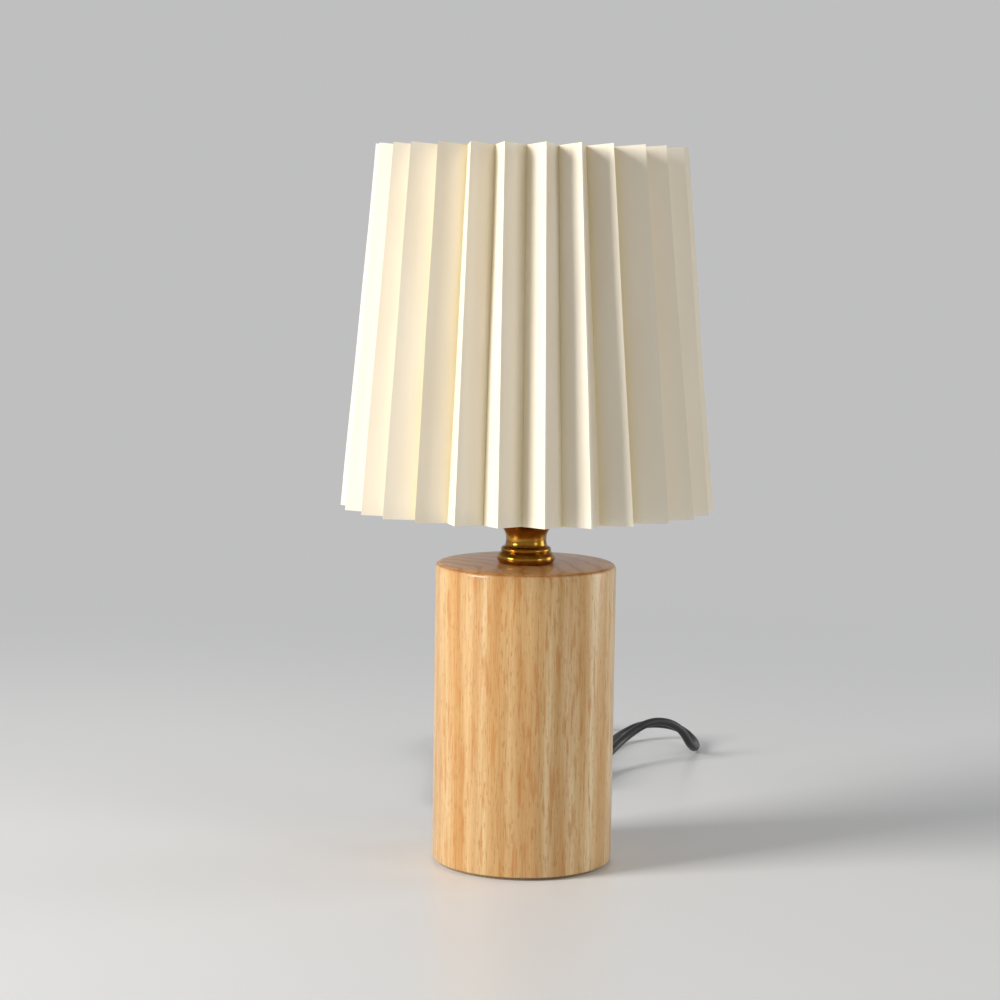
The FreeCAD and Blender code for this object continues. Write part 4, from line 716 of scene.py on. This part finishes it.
powder_coat, tree, shader = new_material("white_powder_coat", IOR=1.5, Roughness=0.42)
place = put(tree, "TexCoord").outputs["Object"]
peel = put(tree, "TexNoise", None, {"Vector": place, "Scale": 1200.0, "Detail": 2.0})
shade_of_white = put(tree, "TexNoise", None, {"Vector": place, "Scale": 50.0})
tree.links.new(stops(put(tree, "ValToRGB", None, {"Fac": shade_of_white.outputs["Fac"]}),
                     (0.3, srgb("#E4E1DA")), (0.7, srgb("#EDEBE5"))),
               shader.inputs["Base Color"])
tree.links.new(put(tree, "Bump", None, {
    "Strength": 0.35, "Distance": 0.0001, "Height": peel.outputs["Fac"]}).outputs["Normal"],
    shader.inputs["Normal"])
dress(powder_coat, "shade_bottom_ring", "shade_top_ring", "fitter_ring", "spider_arms")

# ---------------------------------------------------------------- switch, plug and bush
# Injection-moulded black ABS with a fine spark-eroded texture. The plug is moulded in one
# shot round its two pins, with soft edges, grip ridges and a ribbed tail.

black_abs, tree, shader = new_material("black_abs_moulded", IOR=1.54, Roughness=0.4)
place = put(tree, "TexCoord").outputs["Object"]
spark = put(tree, "TexNoise", None, {"Vector": place, "Scale": 2200.0, "Detail": 3.0})
cloud = put(tree, "TexNoise", None, {"Vector": place, "Scale": 90.0, "Detail": 3.0})
tree.links.new(stops(put(tree, "ValToRGB", None, {"Fac": cloud.outputs["Fac"]}),
                     (0.3, srgb("#131314")), (0.7, srgb("#1E1E20"))),
               shader.inputs["Base Color"])
tree.links.new(put(tree, "Bump", None, {
    "Strength": 0.4, "Distance": 0.0001, "Height": spark.outputs["Fac"]}).outputs["Normal"],
    shader.inputs["Normal"])
dress(black_abs, "switch_base", "switch_cover", "switch_rocker", "prong_sleeves", "tube_bush")
dress(boot_rubber, "switch_sleeve_in", "switch_sleeve_out")
dress(cap_metal, "plug_prongs")

PLUG = Vector((-0.009, 0.306, 0.00685))
GRIP_RIDGES = 5
TAIL_RIBS = 4
plug_shape = bmesh.new()
plug_loops = []
for along, width, thick in ((0.014, 0.018, 0.011), (0.0175, 0.0205, 0.0118),
                            (0.0289, 0.0282, 0.0137), (0.047, 0.0353, 0.0137)):
    flat = width / 2 - thick * 0.42
    corners = ((width / 2, 0), (flat, thick / 2), (-flat, thick / 2),
               (-width / 2, 0), (-flat, -thick / 2), (flat, -thick / 2))
    loop = bmesh.ops.create_circle(plug_shape, segments=6, radius=1)["verts"]
    for vert, (across, up) in zip(loop, corners):
        vert.co = (along, across, up)
    plug_loops.append(loop)
for near, far in zip(plug_loops, plug_loops[1:]):
    bmesh.ops.bridge_loops(plug_shape, edges=[
        e for e in plug_shape.edges
        if all(v in near for v in e.verts) or all(v in far for v in e.verts)])
bmesh.ops.holes_fill(plug_shape, edges=plug_shape.edges)
bmesh.ops.recalc_face_normals(plug_shape, faces=plug_shape.faces)
bmesh.ops.bevel(plug_shape, geom=[e for e in plug_shape.edges if e.calc_face_angle(0) > 0.35],
                offset=0.0014, segments=4, profile=0.5, affect="EDGES", material=-1)
for side in (-1, 1):
    for ridge in range(GRIP_RIDGES):
        bar = bmesh.ops.create_cube(plug_shape, size=1)["verts"]
        bmesh.ops.scale(plug_shape, verts=bar, vec=(0.0011, 0.0125, 0.0008))
        bmesh.ops.translate(plug_shape, verts=bar,
                            vec=(0.0312 + 0.0026 * ridge, 0, side * 0.0065))
        bmesh.ops.bevel(plug_shape, geom=list({e for v in bar for e in v.link_edges}),
                        offset=0.0002, segments=2, profile=0.5, affect="EDGES", material=-1)
bmesh.ops.translate(plug_shape, verts=plug_shape.verts, vec=PLUG)
plug = finish_mesh("plug_grip", plug_shape, black_abs, "lamp", 40)
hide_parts("plug_body")

tail_outline = [(LEAD / 2, 0.0001), (0.0029, 0.0001), (0.0032, 0.0004)]
for rib in range(TAIL_RIBS):
    start = 0.0018 + rib * 0.0029
    reach = 0.0034 + rib * 0.00025
    tail_outline += [(reach, start), (reach - 0.0006, start + 0.0003),
                     (reach - 0.0006, start + 0.0011), (reach, start + 0.0014)]
tail_outline += [(0.0045, 0.0142), (LEAD / 2, 0.0142)]
tail_shape = turn_on_lathe(tail_outline, 48)
bmesh.ops.rotate(tail_shape, verts=tail_shape.verts, matrix=Matrix.Rotation(math.pi / 2, 3, "Y"))
bmesh.ops.translate(tail_shape, verts=tail_shape.verts, vec=PLUG)
plug_tail = finish_mesh("plug_tail", tail_shape, black_abs, "lamp", 35)

# ---------------------------------------------------------------- coil strap
# Woven black nylon tape, 12 mm wide and 0.6 mm thick, in one loop round the coil's turns.
# It closes by hook and loop.

nylon, tree, shader = new_material("woven_nylon_tape", IOR=1.53, Roughness=0.75,
                                   Sheen_Weight=0.3)
place = put(tree, "TexCoord").outputs["Object"]
weave = put(tree, "TexWave", {"wave_type": "BANDS", "bands_direction": "Y"}, {
    "Vector": place, "Scale": 160.0, "Distortion": 1.0, "Detail": 2.0})
tree.links.new(stops(put(tree, "ValToRGB", None, {"Fac": weave.outputs["Fac"]}),
                     (0.2, srgb("#0D0D0E")), (0.8, srgb("#262628"))),
               shader.inputs["Base Color"])
tree.links.new(put(tree, "Bump", None, {
    "Strength": 0.6, "Distance": 0.0002, "Height": weave.outputs["Fac"]}).outputs["Normal"],
    shader.inputs["Normal"])

TAPE = 0.0006
TAPE_BEND = 0.0026
strap_low, strap_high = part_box("coil_strap")
strap_shape = bmesh.new()
inner_low = Vector(strap_low) + Vector((0, TAPE, TAPE))
inner_high = Vector(strap_high) - Vector((0, TAPE, TAPE))
corners = [strap_shape.verts.new((inner_low.x, y, z)) for y, z in (
    (inner_low.y, inner_low.z), (inner_high.y, inner_low.z),
    (inner_high.y, inner_high.z), (inner_low.y, inner_high.z))]
for pair in zip(corners, corners[1:] + corners[:1]):
    strap_shape.edges.new(pair)
bmesh.ops.bevel(strap_shape, geom=corners, offset=TAPE_BEND, segments=6, profile=0.5,
                affect="VERTICES", material=-1)
band = bmesh.ops.extrude_edge_only(strap_shape, edges=strap_shape.edges)
bmesh.ops.translate(strap_shape, vec=(inner_high.x - inner_low.x, 0, 0),
                    verts=[v for v in band["geom"] if isinstance(v, bmesh.types.BMVert)])
strap = finish_mesh("nylon_strap", strap_shape, nylon, "lamp", 40)
tape_wall = strap.modifiers.new("thickness", "SOLIDIFY")
tape_wall.thickness = TAPE
tape_wall.offset = 1
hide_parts("coil_strap")

# ---------------------------------------------------------------- floor and backdrop
# A plain pale table top that fades into the plain grey of the backdrop.

BACKDROP = srgb("#BFBFC0")
TABLE_RADIUS = 12
table_top, tree, shader = new_material("table_top", Roughness=0.35, Specular_IOR_Level=0.4)
place = put(tree, "TexCoord").outputs["Object"]
spread = put(tree, "VectorMath", {"operation": "LENGTH"}, {0: place}).outputs["Value"]
shader.inputs["Base Color"].default_value = srgb("#ECEEF0")
far_off = put(tree, "MapRange", {"interpolation_type": "SMOOTHSTEP"}, {
    "Value": spread, "From Min": 0.30, "From Max": 1.0}).outputs["Result"]
glow = put(tree, "Emission", None, {"Color": BACKDROP, "Strength": 1.0})
seen = put(tree, "LightPath").outputs["Is Camera Ray"]
blend = put(tree, "Math", {"operation": "MULTIPLY"}, {0: far_off, 1: seen}).outputs[0]
mixed = put(tree, "MixShader", None, {0: blend, 1: shader.outputs[0], 2: glow.outputs[0]})
tree.links.new(mixed.outputs[0], tree.nodes["Material Output"].inputs["Surface"])
floor_shape = bmesh.new()
bmesh.ops.create_circle(floor_shape, cap_ends=True, segments=96, radius=TABLE_RADIUS)
floor_data = bpy.data.meshes.new("table")
floor_shape.to_mesh(floor_data)
floor_shape.free()
floor = bpy.data.objects.new("table", floor_data)
scene.collection.objects.link(floor)
floor_data.materials.append(table_top)

world = bpy.data.worlds.new("studio")
scene.world = world
world.use_nodes = True
tree = world.node_tree
around = tree.nodes["Background"]
around.inputs["Color"].default_value = srgb("#DADBDB")
around.inputs["Strength"].default_value = 0.36
behind = put(tree, "Background", None, {"Color": BACKDROP, "Strength": 1.0})
path = put(tree, "LightPath")
first = put(tree, "Math", {"operation": "MAXIMUM"}, {
    0: path.outputs["Is Camera Ray"], 1: path.outputs["Is Glossy Ray"]}).outputs[0]
shown = put(tree, "Math", {"operation": "MAXIMUM"}, {
    0: first, 1: path.outputs["Is Transmission Ray"]}).outputs[0]
tree.links.new(put(tree, "MixShader", None, {
    0: shown, 1: around.outputs[0], 2: behind.outputs[0]}).outputs[0],
    tree.nodes["World Output"].inputs["Surface"])

# ---------------------------------------------------------------- studio lights
# A window-like softbox from the left and a little in front, a narrow weak one on the right,
# which draws the second light line on the brass, and a low one behind on the right.


def softbox(name, spot, aim, width, height, power, colour):
    light = bpy.data.lights.new(name, "AREA")
    light.shape = "RECTANGLE"
    light.size = width
    light.size_y = height
    light.energy = power
    light.color = srgb(colour)[:3]
    lamp = bpy.data.objects.new(name, light)
    scene.collection.objects.link(lamp)
    spot = Vector(spot)
    lamp.matrix_world = (
        Matrix.Translation(spot)
        @ (spot - Vector(aim)).to_track_quat("Z", "Y").to_matrix().to_4x4())


softbox("key", (-1.7, -0.75, 0.95), (0, 0, 0.2), 0.7, 1.0, 42.5, "#FFFBF6")
softbox("fill", (1.5, -1.0, 0.75), (0, 0, 0.2), 0.45, 1.2, 4.5, "#FFFCF8")
softbox("rim", (1.5, 0.4, 0.45), (0, 0, 0.1), 0.6, 1.0, 6, "#FFFDFA")

low, high = cad_box
